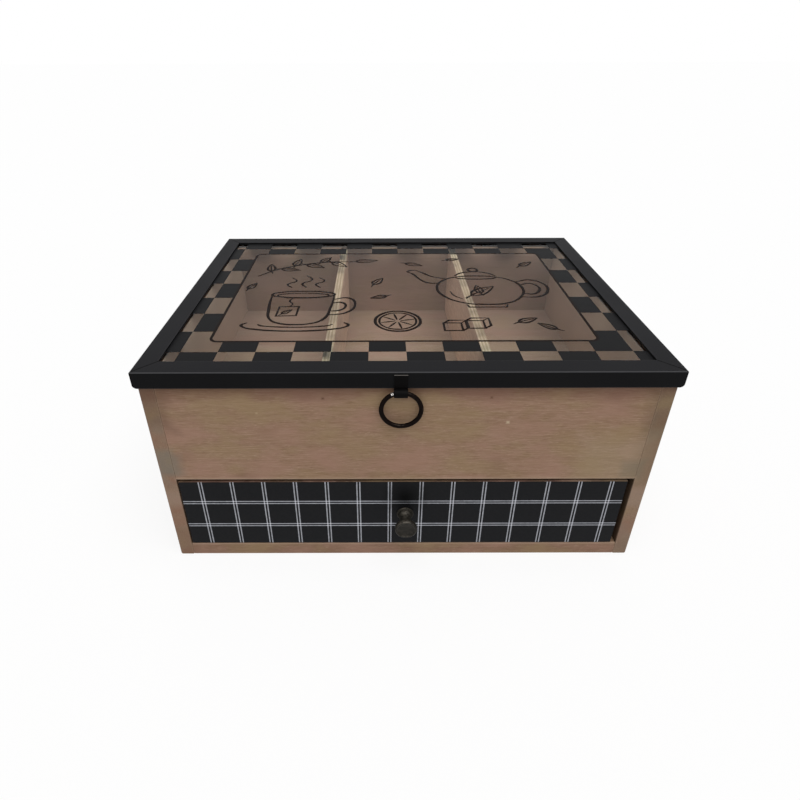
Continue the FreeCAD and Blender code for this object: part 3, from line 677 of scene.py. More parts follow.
plaid = material("black print with pale windowpane lines")
print_place = add(plaid, "TexCoord").outputs["Object"]
print_across = add(plaid, "SeparateXYZ", {0: print_place}).outputs
ink_grain = add(plaid, "TexNoise", {"Vector": print_place, "Scale": 1 / (INK_GRAIN_MM * MM)})
patchy = add(plaid, "MapRange", {"Value": ink_grain, "From Min": 0.3, "From Max": 0.7, "To Min": 0.72})
lined = painted(plaid, "151618", "1D1D1F", ink_grain, 0, 1)
away = {}
for axis, start_mm in PLAID_START_MM.items():
    offset = add(plaid, "Math", {0: print_across[axis], 1: start_mm * MM}, operation="SUBTRACT")
    zigzag = add(plaid, "Math", {0: offset, 1: PLAID_PITCH_MM / 2 * MM}, operation="PINGPONG")
    from_line = add(plaid, "Math", {0: zigzag, 1: PLAID_PAIR_MM / 2 * MM}, operation="SUBTRACT")
    away[axis] = add(plaid, "Math", {0: from_line}, operation="ABSOLUTE")
line_starts_mm = (PLAID_LINE_MM + PLAID_SOFT_MM) / 2
line_full_mm = (PLAID_LINE_MM - PLAID_SOFT_MM) / 2
for which, code in (("MINIMUM", "A6A8AF"), ("MAXIMUM", "D8D9E2")):
    nearest = add(plaid, "Math", {0: away["X"], 1: away["Z"]}, operation=which)
    lined = painted(plaid, lined, code, nearest, line_starts_mm * MM, line_full_mm * MM, patchy)
print("plaid pitch:", PLAID_PITCH_MM, "mm")

# %% Printed sheet
# A painted shadow of the knob: darkest this far above the knob's middle, and fading out over this reach.
KNOB_SHADOW_RISE_MM = 11.0
KNOB_SHADOW_REACH_MM = 13.0
KNOB_SHADOW_MOST = 0.9

shadow_knob_low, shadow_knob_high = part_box("drawer_knob")
knob_shadow_centre = (shadow_knob_low + shadow_knob_high) / 2
knob_shadow_centre.y, knob_shadow_centre.z = shadow_knob_high.y, knob_shadow_centre.z + KNOB_SHADOW_RISE_MM * MM
from_knob_shadow = add(plaid, "VectorMath", {0: print_place, 1: knob_shadow_centre}, operation="DISTANCE")
with_knob_shadow = painted(plaid, lined, "040404", from_knob_shadow, KNOB_SHADOW_REACH_MM * MM, 0, KNOB_SHADOW_MOST)
print_bump = add(plaid, "Bump", {"Height": ink_grain, "Strength": 0.1, "Distance": 0.03 * MM})
print_shader = add(
    plaid, "BsdfPrincipled",
    {"Base Color": with_knob_shadow, "Roughness": 0.48, "Normal": print_bump, "Specular IOR Level": 0.05},
)
add(plaid, "OutputMaterial", {"Surface": print_shader})
dress(plaid, "drawer_front_print")
print("darkest at", [round(part / MM, 1) for part in knob_shadow_centre], "mm")

# %% [markdown]
# ## Metals
#
# The knob is cast zinc with an antique pewter finish. The knob's screw and washer are bright
# zinc plate. The ring is steel wire in a brown-black lacquer, and its cut end is bare steel with a
# painted glint. Fine scratches would be lost at this size, so one recipe does for all four: the
# tone wanders, edges are bright, and a painted highlight lies on the side that faces one direction.

# %% Worn metal
HIGHLIGHT_FULL = 0.99


def worn_metal(
    name, base, bright, grain_mm, metallic=1.0, rough=0.34, gloss=0.5, edges=0.5, clouds=0.5, painted_highlight=None
):
    """Metal whose tone wanders between base and bright, is bright on its edges, and may carry a painted
    highlight on the faces that turn one way.
    """
    made = material(name)
    place = add(made, "TexCoord").outputs["Object"]
    grain = add(made, "TexNoise", {"Vector": place, "Scale": 1 / (grain_mm * MM), "Detail": 4.0})
    tone = painted(made, base, bright, grain, 0.35, 0.8, clouds)
    tone = rubbed_edges(made, tone, bright, 0.5, edges)
    # A painted highlight, broken up by the grain, on faces that turn towards a direction.
    if painted_highlight:
        direction, start, most = painted_highlight
        broken_highlight = add(made, "MapRange", {"Value": grain, "From Min": 0.38, "From Max": 0.52, "To Max": most})
        tone = painted(made, tone, bright, facing(made, direction), start, HIGHLIGHT_FULL, broken_highlight)
    bump = add(made, "Bump", {"Height": grain, "Strength": 0.15, "Distance": 0.05 * MM})
    uneven = add(made, "MapRange", {"Value": grain, "To Min": rough - 0.06, "To Max": rough + 0.12})
    shader = add(
        made, "BsdfPrincipled",
        {
            "Base Color": tone, "Metallic": metallic, "Roughness": uneven, "Normal": bump,
            "Specular IOR Level": gloss,
        },
    )
    add(made, "OutputMaterial", {"Surface": shader})
    return made


# %% Metals
# Antique pewter: a dark, dull patina that the polishing wheel took off the high spots, and a painted
# highlight on faces that turn up and forwards.
pewter = worn_metal(
    "antique pewter", "211F1B", "645F57", 1.5, metallic=0.3, rough=0.42, gloss=0.1, edges=0.35, clouds=0.16,
    painted_highlight=((-0.1, -0.5, 0.86), 0.7, 0.45),
)
# Zinc plate: a cold, light grey with a clear shine.
zinc = worn_metal("bright zinc plate", "A8A9A6", "C9CAC8", 2.0)
# Lacquered wire: nearly black with a brown cast, and a broken painted glint on faces that turn up and
# forwards.
lacquer = worn_metal(
    "brown-black lacquered wire", "0C0605", "665A51", 1.1, metallic=0.0, rough=0.45, gloss=0.03, edges=0.0,
    clouds=0.03, painted_highlight=((0.12, -0.6, 0.79), 0.93, 0.25),
)
# Cut steel: a small, bright and almost white end, and a painted glint on it.
bare_steel_and_glint = worn_metal("bare cut steel with painted glint", "D6D2CE", "F1EEEA", 0.8)
dress(zinc, "knob_washer", "knob_screw")
print("metals:", pewter.name, "/", zinc.name, "/", lacquer.name, "/", bare_steel_and_glint.name)

# %% [markdown]
# ## Modelling by hand
#
# The next helpers stand for what a modeller does with the mouse: pick faces or edges by where
# they are, and turn a round piece by pushing a disc out step by step. Each finished piece
# keeps its place in its mesh, so its object sits at the origin.

# %% Helpers for picking and changing
def deselect_all():
    """Leave nothing selected, because an operator acts on all that is."""
    bpy.ops.object.select_all(action="DESELECT")


def settle(name, finish=None):
    """Name the active piece, move its place into its mesh and give it a material."""
    piece = bpy.context.object
    piece.name = piece.data.name = name
    bpy.ops.object.transform_apply(location=True, rotation=True, scale=True)
    if finish:
        piece.data.materials.append(finish)
    return piece


def pick(piece, kind, test):
    """In edit mode, select only the faces, edges or vertices that pass a test."""
    bpy.ops.mesh.select_mode(type=kind)
    bpy.ops.mesh.select_all(action="DESELECT")
    mesh = bmesh.from_edit_mesh(piece.data)
    parts = {"FACE": mesh.faces, "EDGE": mesh.edges, "VERT": mesh.verts}[kind]
    chosen = [part for part in parts if test(part)]
    for part in chosen:
        part.select_set(True)
    mesh.select_flush_mode()
    bmesh.update_edit_mesh(piece.data)
    return len(chosen)


def modify(piece, kind, **settings):
    """Add a modifier to the active piece, set it up and apply it."""
    modifier = piece.modifiers.new(kind.lower(), kind)
    for name, value in settings.items():
        setattr(modifier, name, value)
    bpy.ops.object.modifier_apply(modifier=modifier.name)


def open_edges(piece):
    """How many edges don't have exactly two faces: nought on a closed solid."""
    mesh = bmesh.new()
    mesh.from_mesh(piece.data)
    count = sum(1 for edge in mesh.edges if len(edge.link_faces) != 2)
    mesh.free()
    return count


print("open edges of the bare floor plane:", open_edges(floor))

# %% Helper for turning
SMOOTH_DEGREES = 35


def turned(name, centre, outwards, profile_mm, sides, finish):
    """A round piece: a disc at centre is pushed outwards through a profile of (radius, distance)."""
    deselect_all()
    profile = [(radius_mm * MM, reach_mm * MM) for radius_mm, reach_mm in profile_mm]
    radius, reach = profile[0]
    bpy.ops.mesh.primitive_circle_add(
        vertices=sides, radius=radius, fill_type="NGON",
        location=centre + outwards * reach, rotation=outwards.to_track_quat("Z", "Y").to_euler(),
    )
    piece = settle(name, finish)
    bpy.ops.object.mode_set(mode="EDIT")
    bpy.ops.mesh.select_all(action="SELECT")
    for next_radius, next_reach in profile[1:]:
        bpy.ops.mesh.extrude_region_move(TRANSFORM_OT_translate={"value": outwards * (next_reach - reach)})
        bpy.ops.transform.resize(
            value=(next_radius / radius,) * 3, center_override=centre + outwards * next_reach
        )
        radius, reach = next_radius, next_reach
    bpy.ops.mesh.select_all(action="SELECT")
    bpy.ops.mesh.normals_make_consistent(inside=False)
    bpy.ops.object.mode_set(mode="OBJECT")
    bpy.ops.object.shade_smooth_by_angle(angle=math.radians(SMOOTH_DEGREES))
    print(name, "faces", len(piece.data.polygons), "open edges", open_edges(piece))
    return piece


print("turned pieces stay flat where they bend more than", SMOOTH_DEGREES, "degrees")

# %% [markdown]
# ## Knob
#
# The knob is a small turned one: a foot disc, a rounded collar that narrows to a neck, and a
# flat head with a raised rim. It could be stacked from three cylinders, but their joints would
# be sharp. A lathe profile is the natural way to say it, so the piece is pushed out ring by
# ring from the drawer's face, as a lathe tool would leave it.

# %% Knob
KNOB_SIDES = 72
# Each ring: its radius, and how far out it is.
KNOB_PROFILE_MM = [
    (3.9, 0.0), (4.15, 0.05), (4.25, 0.2), (4.25, 0.55), (4.17, 0.75), (4.0, 0.86), (3.8, 0.84), (3.55, 0.66),
    (3.46, 0.75), (3.5, 1.1), (3.56, 1.5), (3.5, 2.0), (3.32, 2.5), (3.06, 2.95), (2.88, 3.4), (2.78, 4.0),
    (2.78, 5.0), (2.84, 6.0), (2.96, 6.8), (3.2, 7.4), (3.55, 7.85), (4.2, 8.2), (4.8, 8.45), (5.18, 8.75),
    (5.39, 9.15), (5.45, 9.6), (5.45, 10.35), (5.4, 10.8), (5.22, 11.2), (4.98, 11.42), (4.72, 11.5),
    (4.48, 11.43), (4.3, 11.28), (4.12, 11.14), (3.9, 11.08), (2.0, 11.05),
]

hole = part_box("knob_washer")
knob_low, knob_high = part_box("drawer_knob")
knob_foot = Vector(((hole[0].x + hole[1].x) / 2, knob_high.y, (hole[0].z + hole[1].z) / 2))
knob = turned("turned_knob", knob_foot, Vector((0, -1, 0)), KNOB_PROFILE_MM, KNOB_SIDES, pewter)
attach(knob, "drawer")
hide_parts("drawer_knob")
knob_reach_mm = max(out for radius, out in KNOB_PROFILE_MM)
print("knob front at %.1f mm, CAD box from %.1f mm" % (knob_foot.y / MM - knob_reach_mm, knob_low.y / MM))

# %% [markdown]
# ## Pull ring
#
# A split ring is a length of round wire bent to a circle until its ends nearly meet. A wire
# could be swept along a curve, but a torus with one narrow slice taken out and both ends
# closed is the same shape with less work. The last few faces on its outer side beside the cut
# are near-white: bare steel where the lacquer chipped off, and a painted glint.

# %% Pull ring
RING_RADIUS_MM = 8.9
RING_WIRE_MM = 1.05
RING_SLICES = 225
WIRE_SIDES = 24
SPLIT_DEGREES = 114.2
BARE_GLINT_DEGREES = 4.5
BARE_GLINT_FROM_MM = 9.1

ring_low, ring_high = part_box("pull_ring")
ring_middle = (ring_low + ring_high) / 2
deselect_all()
bpy.ops.mesh.primitive_torus_add(
    location=ring_middle, rotation=(math.pi / 2, 0, 0), major_radius=RING_RADIUS_MM * MM,
    minor_radius=RING_WIRE_MM * MM, major_segments=RING_SLICES, minor_segments=WIRE_SIDES,
)
ring = settle("split_ring", lacquer)
ring.data.materials.append(bare_steel_and_glint)


def past_split(point):
    """How far round the ring a point is from its split, in degrees from +X towards +Z."""
    round_degrees = math.degrees(math.atan2(point.z - ring_middle.z, point.x - ring_middle.x)) % 360
    return round_degrees - SPLIT_DEGREES


bpy.ops.object.mode_set(mode="EDIT")
half_slice = 180 / RING_SLICES
taken = pick(ring, "FACE", lambda face: abs(past_split(face.calc_center_median())) < half_slice)
bpy.ops.mesh.delete(type="FACE")
pick(ring, "EDGE", lambda edge: len(edge.link_faces) == 1)
bpy.ops.mesh.fill_holes(sides=0)
bpy.ops.mesh.select_all(action="SELECT")
bpy.ops.mesh.normals_make_consistent(inside=False)
bpy.ops.object.mode_set(mode="OBJECT")
# The near-white faces beside the cut are bare steel and a painted glint.
for face in ring.data.polygons:
    on_outer_side = (face.center - ring_middle).length > BARE_GLINT_FROM_MM * MM
    if on_outer_side and -2 * half_slice < past_split(face.center) < BARE_GLINT_DEGREES:
        face.material_index = 1
bpy.ops.object.shade_smooth_by_angle(angle=math.radians(SMOOTH_DEGREES))
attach(ring, "ring")
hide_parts("pull_ring")
print("faces taken out:", taken, " open edges:", open_edges(ring))

# %% [markdown]
# ## Checks on the glass
#
# A black checkerboard is screen-printed round the edge of the pane: twelve columns by seven
# rows, with part cells running under the frame. The border could be a pattern in the glass's
# material, but ink has thickness, so each black cell is a thin plate on the glass. A grid is
# the quick way there: slice it along the frame and along the clear middle, throw away what
# isn't black, and give the rest its thickness.

# %% Screen inks
def screen_ink(name, thin, thick, cloud_mm):
    """Matt printing ink whose black is a little thinner in places."""
    made = material(name)
    place = add(made, "TexCoord").outputs["Object"]
    cloud = add(made, "TexNoise", {"Vector": place, "Scale": 1 / (cloud_mm * MM), "Detail": 4.0})
    tone = painted(made, thick, thin, cloud, 0, 1)
    rough = add(made, "MapRange", {"Value": cloud, "To Min": 0.42, "To Max": 0.62})
    shader = add(
        made, "BsdfPrincipled", {"Base Color": tone, "Roughness": rough, "Specular IOR Level": 0.03}
    )
    add(made, "OutputMaterial", {"Surface": shader})
    return made


check_ink = screen_ink("black screen ink on glass", "1E1E1F", "151516", 6)
drawing_ink = screen_ink("brown-black screen ink on glass", "1C1310", "100B09", 4)
print("inks:", check_ink.name, "/", drawing_ink.name)

# %% Grid of checks
CHECK_COLUMNS, CHECK_ROWS = 12, 7
CHECK_WIDE_MM, CHECK_DEEP_MM = 17.36, 20.6
INK_SINK_MM, INK_RISE_MM = 0.01, 0.03

glass_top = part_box("lid_glass")[1].z
ink_level = glass_top - INK_SINK_MM * MM
frame_inside = Vector((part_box("lid_frame_right")[0].x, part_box("lid_frame_back")[0].y, 0))
clear_middle = Vector(((CLEAR_RIGHT_MM + CLEAR_LEFT_MM) / 2 * MM, 0, 0))
clear_half = Vector(((CLEAR_RIGHT_MM - CLEAR_LEFT_MM) / 2 * MM, CLEAR_HALF_DEEP_MM * MM, 0))

# One more column or row on each side gives the part cells at the frame.
columns, rows = CHECK_COLUMNS + 2, CHECK_ROWS + 2
deselect_all()
bpy.ops.mesh.primitive_grid_add(
    x_subdivisions=columns, y_subdivisions=rows, size=1, location=(0, 0, ink_level)
)
bpy.context.object.scale = (columns * CHECK_WIDE_MM * MM, rows * CHECK_DEEP_MM * MM, 1)
checks = settle("glass_checks", check_ink)
bpy.ops.object.mode_set(mode="EDIT")


def slice_all(plane_at, normal, drop_outside):
    """Cut the whole mesh along a plane, and drop what lies past it or keep both sides."""
    bpy.ops.mesh.select_all(action="SELECT")
    bpy.ops.mesh.bisect(plane_co=plane_at, plane_no=normal, clear_outer=drop_outside)


for across in (Vector((1, 0, 0)), Vector((-1, 0, 0)), Vector((0, 1, 0)), Vector((0, -1, 0))):
    slice_all(across * abs(across.dot(frame_inside)), across, True)
    slice_all(clear_middle + across * abs(across.dot(clear_half)), across, False)
bpy.ops.object.mode_set(mode="OBJECT")
print("cells and part cells:", len(checks.data.polygons))

# %% Black cells
CLEAR_CORNER_MM = 4.5
CHECK_CORNER_STEPS = 6
CORNER_NEAR_MM = 0.1


def column_and_row(point):
    """Which column and row of checks a point is in, counted from the front left full cell."""
    return (
        math.floor(point.x / MM / CHECK_WIDE_MM + CHECK_COLUMNS / 2),
        math.floor(point.y / MM / CHECK_DEEP_MM + CHECK_ROWS / 2),
    )


def unwanted(face):
    """True for a cell that is bare glass: one in the clear middle, or every second one round it."""
    middle = face.calc_center_median()
    inside = abs(middle.x - clear_middle.x) < clear_half.x and abs(middle.y) < clear_half.y
    return inside or sum(column_and_row(middle)) % 2 == 0


def at_clear_corner(corner):
    """True for a corner of a cell that lies on one of the clear middle's two right-hand corners."""
    ideal = Vector((CLEAR_RIGHT_MM * MM, math.copysign(clear_half.y, corner.co.y), ink_level))
    return (corner.co - ideal).length < CORNER_NEAR_MM * MM


bpy.ops.object.mode_set(mode="EDIT")
pick(checks, "FACE", unwanted)
bpy.ops.mesh.delete(type="FACE")
# The slices left the two corner cells on the right in pieces, so these are made whole.
for row in (0, CHECK_ROWS - 1):
    corner_cell = (CHECK_COLUMNS - 1, row)
    pick(checks, "FACE", lambda face: column_and_row(face.calc_center_median()) == corner_cell)
    bpy.ops.mesh.dissolve_faces()
# Cells that touch at a corner would share an edge once they have a thickness, so all are parted.
bpy.ops.mesh.select_mode(type="EDGE")
bpy.ops.mesh.select_all(action="SELECT")
bpy.ops.mesh.edge_split(type="EDGE")
rounded_corners = pick(checks, "VERT", at_clear_corner)
bpy.ops.mesh.bevel(offset=CLEAR_CORNER_MM * MM, segments=CHECK_CORNER_STEPS, affect="VERTICES")
bpy.ops.object.mode_set(mode="OBJECT")
ink_thick = (INK_SINK_MM + INK_RISE_MM) * MM
modify(checks, "SOLIDIFY", thickness=ink_thick, offset=1)
print(
    "black plates:", len(checks.data.polygons), "faces, rounded corners:", rounded_corners,
    "open edges:", open_edges(checks), "top %.3f mm" % (max(v.co.z for v in checks.data.vertices) / MM),
)

# %% [markdown]
# ## Outline of the clear middle
#
# A thin printed line frames the clear middle, with rounded corners. It could be swept along a
# curve. Here it is a plane whose four corners are bevelled round, inset by the line's width,
# and emptied in the middle, which keeps its width the same all round.

# %% Outline of the clear middle
OUTLINE_MM = 1.45
OUTLINE_CORNER_STEPS = 10
OUTLINE_THICKER = 1.2  # so that it covers the edges of the checks

deselect_all()
bpy.ops.mesh.primitive_plane_add(size=1, location=(clear_middle.x, 0, ink_level))
bpy.context.object.scale = (2 * clear_half.x + OUTLINE_MM * MM, 2 * clear_half.y + OUTLINE_MM * MM, 1)
outline = settle("glass_outline", drawing_ink)
bpy.ops.object.mode_set(mode="EDIT")
pick(outline, "VERT", lambda corner: True)
bpy.ops.mesh.bevel(offset=CLEAR_CORNER_MM * MM, segments=OUTLINE_CORNER_STEPS, affect="VERTICES")
bpy.ops.mesh.select_mode(type="FACE")
bpy.ops.mesh.select_all(action="SELECT")
bpy.ops.mesh.inset(thickness=OUTLINE_MM * MM)
pick(outline, "FACE", lambda face: len(face.verts) > 4)
bpy.ops.mesh.delete(type="FACE")
bpy.ops.object.mode_set(mode="OBJECT")
modify(outline, "SOLIDIFY", thickness=ink_thick * OUTLINE_THICKER, offset=1)
print("outline open edges:", open_edges(outline))

# %% [markdown]
# ## Drawing on the glass
#
# In the clear middle sits a line drawing about tea: a teapot, a glass with its tag, a sprig, a
# slice of lemon and sugar. Lines could be cut out of a sheet, but pen strokes are curves, so
# each stroke is a spline through a few points, a little thinner at its ends. The curve gets a
# round pen, becomes a mesh, and is pressed flat like ink on glass.

# %% Pen
PEN_MM = 1.75
PEN_END_SHARE = 0.55
# Between its ends a stroke is this wide, and wanders by so much in such steps from knot to knot.
PEN_SHARE, PEN_WANDER, PEN_WANDER_STEP = 0.92, 0.12, 2.3

deselect_all()
bpy.ops.curve.primitive_bezier_curve_add(radius=MM)
drawing = bpy.context.object
pen = drawing.data
pen.splines.clear()
pen.resolution_u = 6
pen.bevel_depth = PEN_MM / 2 * MM
pen.bevel_resolution = 1
pen.use_fill_caps = True


def stroke(points, closed=False, straight=False, wide=1.0):
    """One pen stroke through points in mm on the glass, from the middle of the lid."""
    last = len(points) - 1
    spline = pen.splines.new("BEZIER")
    spline.bezier_points.add(last)
    for number, (knot, (x, y)) in enumerate(zip(spline.bezier_points, points)):
        knot.co = (x * MM, y * MM, 0)
        knot.handle_left_type = knot.handle_right_type = "VECTOR" if straight else "AUTO"
        at_end = not closed and number in (0, last)
        pressed = PEN_SHARE + PEN_WANDER * math.sin(PEN_WANDER_STEP * number)
        knot.radius = wide * (PEN_END_SHARE if at_end else pressed)
    spline.use_cyclic_u = closed


print("pen:", PEN_MM, "mm wide")

# %% Ovals and leaves
# A leaf's side and its vein, as shares of its length: forwards, and sideways.
LEAF_SIDE = ((0, 0), (0.25, 0.17), (0.6, 0.15), (1, 0))
LEAF_VEIN = ((-0.28, -0.05), (0, 0), (0.4, 0.015), (0.82, 0))
VEIN_SHARE = 0.75


def oval(x, y, half_wide, half_high, start=0, sweep=360, wide=1.0, count=8):
    """An oval, or part of one, as a stroke."""
    full = sweep == 360
    steps = count if full else count + 1
    angles = [math.radians(start + sweep * step / count) for step in range(steps)]
    stroke(
        [(x + half_wide * math.cos(angle), y + half_high * math.sin(angle)) for angle in angles],
        closed=full, wide=wide,
    )


def leaf(x, y, long, degrees, wide=0.9):
    """A pointed leaf with a stalk and a middle vein, from its foot at (x, y)."""
    turn = math.radians(degrees)

    def at(forwards, sideways):
        return (
            x + long * (forwards * math.cos(turn) - sideways * math.sin(turn)),
            y + long * (forwards * math.sin(turn) + sideways * math.cos(turn)),
        )

    for side in (-1, 1):
        stroke([at(forwards, sideways * side) for forwards, sideways in LEAF_SIDE], wide=wide)
    stroke([at(*spot) for spot in LEAF_VEIN], wide=wide * VEIN_SHARE)


print("a leaf has", len(LEAF_SIDE), "points a side and", len(LEAF_VEIN), "on its vein")

# %% Teapot
stroke(
    [(21, 4), (24, -9), (34, -18), (46, -20), (58, -18), (67, -9), (70, 4), (65, 15), (55, 20.5), (46, 21.5),
     (36, 20.5), (26, 15)],
    closed=True,
)
oval(45.5, 19.5, 13, 3.2, start=200, sweep=140)
stroke([(33, 21.5), (37, 26), (45.5, 28.5), (54, 26), (58, 21.5)])
oval(45.5, 31.6, 2.9, 2.7)
stroke([(23, 10), (16, 11), (11.5, 17), (8, 25), (4.5, 28.5)])
stroke([(4.5, 28.5), (7, 31), (10.5, 31)])
stroke([(10.5, 31), (15, 26), (19, 21), (27, 17)])
stroke([(68.5, 12), (77, 15), (84, 8), (83, -3), (76, -10), (67, -10)])
stroke([(69.5, 7), (75.5, 9.5), (79.5, 5), (78.5, -2), (74, -6), (69, -5)])
stroke([(35, -20), (36, -23.5), (56, -23.5), (57, -20)], straight=True)
leaf(39, -8, 20, 42, wide=0.95)
leaf(45, -5, 12, 95, wide=0.8)
stroke([(39, -8), (35.5, -11)], wide=0.8)
stroke([(28, -2), (29.5, -8), (34, -13)], wide=0.7)
print("strokes so far:", len(pen.splines))

# %% Glass of tea
oval(-55, -6, 17.5, 4.6)
oval(-55, -7.2, 14.2, 3.0, wide=0.75)
stroke(
    [(-72.5, -6), (-71.5, -24), (-68, -39), (-62, -43), (-55, -44), (-48, -43), (-42, -39), (-38.5, -24),
     (-37.5, -6)]
)
stroke([(-38, -13), (-29.5, -11), (-25.5, -20), (-30, -30), (-40, -33)])
stroke([(-38.5, -18), (-33, -17), (-30.5, -21.5), (-33.5, -27), (-39.3, -28)])
oval(-55, -44.5, 27, 6.6, start=155, sweep=230, count=10)
oval(-55, -43.5, 19, 3.4, start=180, sweep=180, wide=0.8)
stroke([(-60, -10.4), (-61.5, -15), (-59.5, -19), (-60.5, -22)], wide=0.7)
stroke([(-66, -22.5), (-55.5, -22), (-55.8, -33.5), (-66.2, -34)], closed=True, straight=True)
leaf(-63.8, -31.5, 7.5, 48, wide=0.7)
stroke([(-63, 4), (-66, 9), (-61.5, 14), (-65, 19.5)], wide=0.85)
stroke([(-54.5, 4), (-57.5, 10), (-52.5, 16), (-56.5, 23)], wide=0.9)
stroke([(-46.5, 4), (-49.5, 9), (-45, 14), (-48.5, 19.5)], wide=0.85)
print("strokes so far:", len(pen.splines))

# %% Sprig, lemon, sugar and loose leaves
LEMON_X, LEMON_Y = -3, -40
LEMON_RIND_MM, LEMON_FLESH_MM = 11.5, 9.4
SPOKES_MM = (1.4, 5, 8.6)
SPOKE_COUNT, SPOKE_START_DEGREES = 8, 12
CUBE_WIDE_MM, CUBE_HIGH_MM = 9, 8.5
CUBE_BACK_X, CUBE_BACK_Y = 3.2, 3.1

stroke([(-86, 22), (-76, 33), (-62, 41), (-46, 46), (-28, 47)])
for x, y, long, degrees in (
    (-79, 30, 13, 100), (-74, 34.5, 13, -12), (-66, 39.5, 13, 78), (-59, 42.5, 14, -28), (-50, 45, 12, 60),
    (-43, 46.5, 14, -42), (-28, 47, 15, 8),
):
    leaf(x, y, long, degrees)
oval(LEMON_X, LEMON_Y, LEMON_RIND_MM, LEMON_RIND_MM)
oval(LEMON_X, LEMON_Y, LEMON_FLESH_MM, LEMON_FLESH_MM, wide=0.75)
for spoke in range(SPOKE_COUNT):
    angle = math.radians(360 / SPOKE_COUNT * spoke + SPOKE_START_DEGREES)
    stroke([(LEMON_X + r * math.cos(angle), LEMON_Y + r * math.sin(angle)) for r in SPOKES_MM], wide=0.7)
for x, y in ((20, -51), (31.5, -48.5)):
    right, top = x + CUBE_WIDE_MM, y + CUBE_HIGH_MM
    back_left, back_right = x + CUBE_BACK_X, right + CUBE_BACK_X
    back_top, back_foot = top + CUBE_BACK_Y, y + CUBE_BACK_Y
    stroke([(x, y), (right, y), (right, top), (x, top)], closed=True, straight=True)
    stroke([(x, top), (back_left, back_top), (back_right, back_top), (right, top)], straight=True, wide=0.9)
    stroke([(back_right, back_top), (back_right, back_foot), (right, y)], straight=True, wide=0.9)
for x, y, long, degrees in (
    (-88, 2, 10, 70), (58, -42, 12, 25), (76, -50, 11, 140), (4, 44, 12, -25), (76, 38, 12, 40),
    (-16, 8, 12, 62), (-8, -8, 10, 200), (30, 49, 10, 15),
):
    leaf(x, y, long, degrees)
print("strokes in all:", len(pen.splines))

# %% Ink from strokes
MERGE_MM = 0.001

deselect_all()
drawing.select_set(True)
bpy.context.view_layer.objects.active = drawing
bpy.ops.object.convert(target="MESH")
drawing = bpy.context.object
bpy.ops.object.mode_set(mode="EDIT")
bpy.ops.mesh.select_all(action="SELECT")
bpy.ops.mesh.remove_doubles(threshold=MERGE_MM * MM)
bpy.ops.transform.resize(value=(1, 1, ink_thick / (PEN_MM * MM)), center_override=(0, 0, 0))
bpy.ops.transform.translate(value=(0, 0, glass_top + (INK_RISE_MM - INK_SINK_MM) / 2 * MM))
bpy.ops.mesh.normals_make_consistent(inside=False)
bpy.ops.object.mode_set(mode="OBJECT")
drawing = settle("glass_drawing", drawing_ink)
for printed in (checks, outline, drawing):
    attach(printed, "lid")
heights = [corner.co.z / MM for corner in drawing.data.vertices]
print(
    "drawing faces:", len(drawing.data.polygons), "open edges:", open_edges(drawing),
    "heights %.3f to %.3f mm" % (min(heights), max(heights)),
)

# %% [markdown]
# ## Hinge screws and rivets
#
# On the back, each box leaf is held by two small cross-slot screws, and each lid leaf by two
# pan-head rivets through the steel skirt. One of each is turned like the knob. A slot could be
# drawn by hand in the head's faces, but cutting it with a pair of thin blocks is how a cutter
# makes it. The rest are copies with their own meshes.

# %% Sizes of the fixings
SCREW_PROFILE_MM = [
    (0.25, 0.0), (0.55, 0.5), (1.0, 1.3), (1.0, 5.5), (2.0, 5.5), (1.98, 5.68), (1.85, 5.95), (1.55, 6.2),
    (1.1, 6.36), (0.6, 6.4),
]
RIVET_PROFILE_MM = [
    (1.0, 0.0), (1.0, 1.6), (2.0, 1.6), (2.0, 1.75), (1.9, 2.0), (1.65, 2.25), (1.25, 2.42), (0.7, 2.5),
]
HEAD_RADIUS_MM = 2.0
FIXING_SPREAD_MM = 15.0
FIXING_SIDES = 28
SLOT_LONG_MM, SLOT_WIDE_MM, SLOT_DEEP_MM = 2.3, 0.5, 0.55

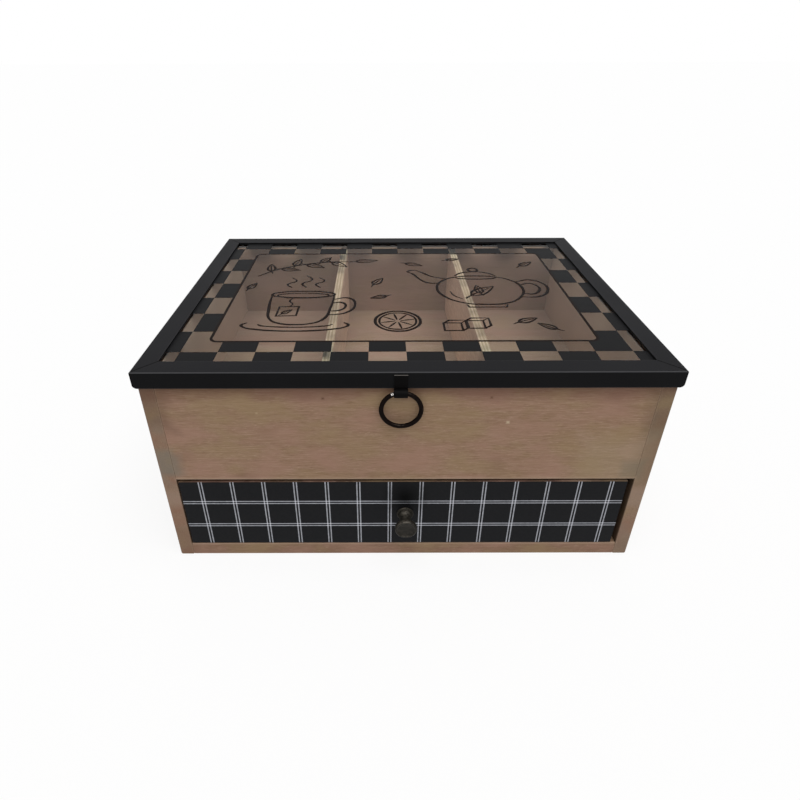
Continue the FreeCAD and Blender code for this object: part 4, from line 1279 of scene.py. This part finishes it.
# Screwdrivers and hammers rub the heads bare, so they are greyer than the leaves.
fixing_enamel = black_enamel("black enamel on hinge fixings", wear_and_highlight="76767A", edges=0.7)
print("heads:", 2 * HEAD_RADIUS_MM, "mm wide,", FIXING_SPREAD_MM, "mm apart")

# %% Screws and rivets
def cut_cross_slot(piece, at):
    """Sink two crossed slots into a screw's head, which faces +Y and has its top at a place."""
    for turn_degrees in (0, 90):
        deselect_all()
        bpy.ops.mesh.primitive_cube_add(size=1, location=at)
        cutter = bpy.context.object
        cutter.scale = (SLOT_LONG_MM * MM, 2 * SLOT_DEEP_MM * MM, SLOT_WIDE_MM * MM)
        cutter.rotation_euler = (0, math.radians(turn_degrees), 0)
        cutter = settle("slot_cutter")
        deselect_all()
        piece.select_set(True)
        bpy.context.view_layer.objects.active = piece
        modify(piece, "BOOLEAN", object=cutter, operation="DIFFERENCE", solver="EXACT")
        bpy.data.objects.remove(cutter)


def fixings(name, node, profile_mm, slotted):
    """Four alike fixings in place of a CAD node."""
    low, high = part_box(node)
    level = (low.z + high.z) / 2
    outer, spread = HEAD_RADIUS_MM * MM, FIXING_SPREAD_MM * MM
    across = (low.x + outer, low.x + outer + spread, high.x - outer - spread, high.x - outer)
    spots = [Vector((x, low.y, level)) for x in across]
    first = turned(name, spots[0], Vector((0, 1, 0)), profile_mm, FIXING_SIDES, fixing_enamel)
    if slotted:
        cut_cross_slot(first, spots[0] + Vector((0, profile_mm[-1][1] * MM, 0)))
    deselect_all()
    group = [first]
    for spot in spots[1:]:
        copy = first.copy()
        copy.data = first.data.copy()
        bpy.context.scene.collection.objects.link(copy)
        copy.location = spot - spots[0]
        group.append(copy)
    for piece in group:
        piece.select_set(True)
    bpy.context.view_layer.objects.active = first
    bpy.ops.object.join()
    joined = settle(name)
    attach(joined, "carcass" if slotted else "lid")
    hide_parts(node)
    print(name, "faces", len(joined.data.polygons), "open edges", open_edges(joined))


fixings("cross_slot_screws", "hinge_screws", SCREW_PROFILE_MM, True)
fixings("pan_head_rivets", "hinge_rivets", RIVET_PROFILE_MM, False)
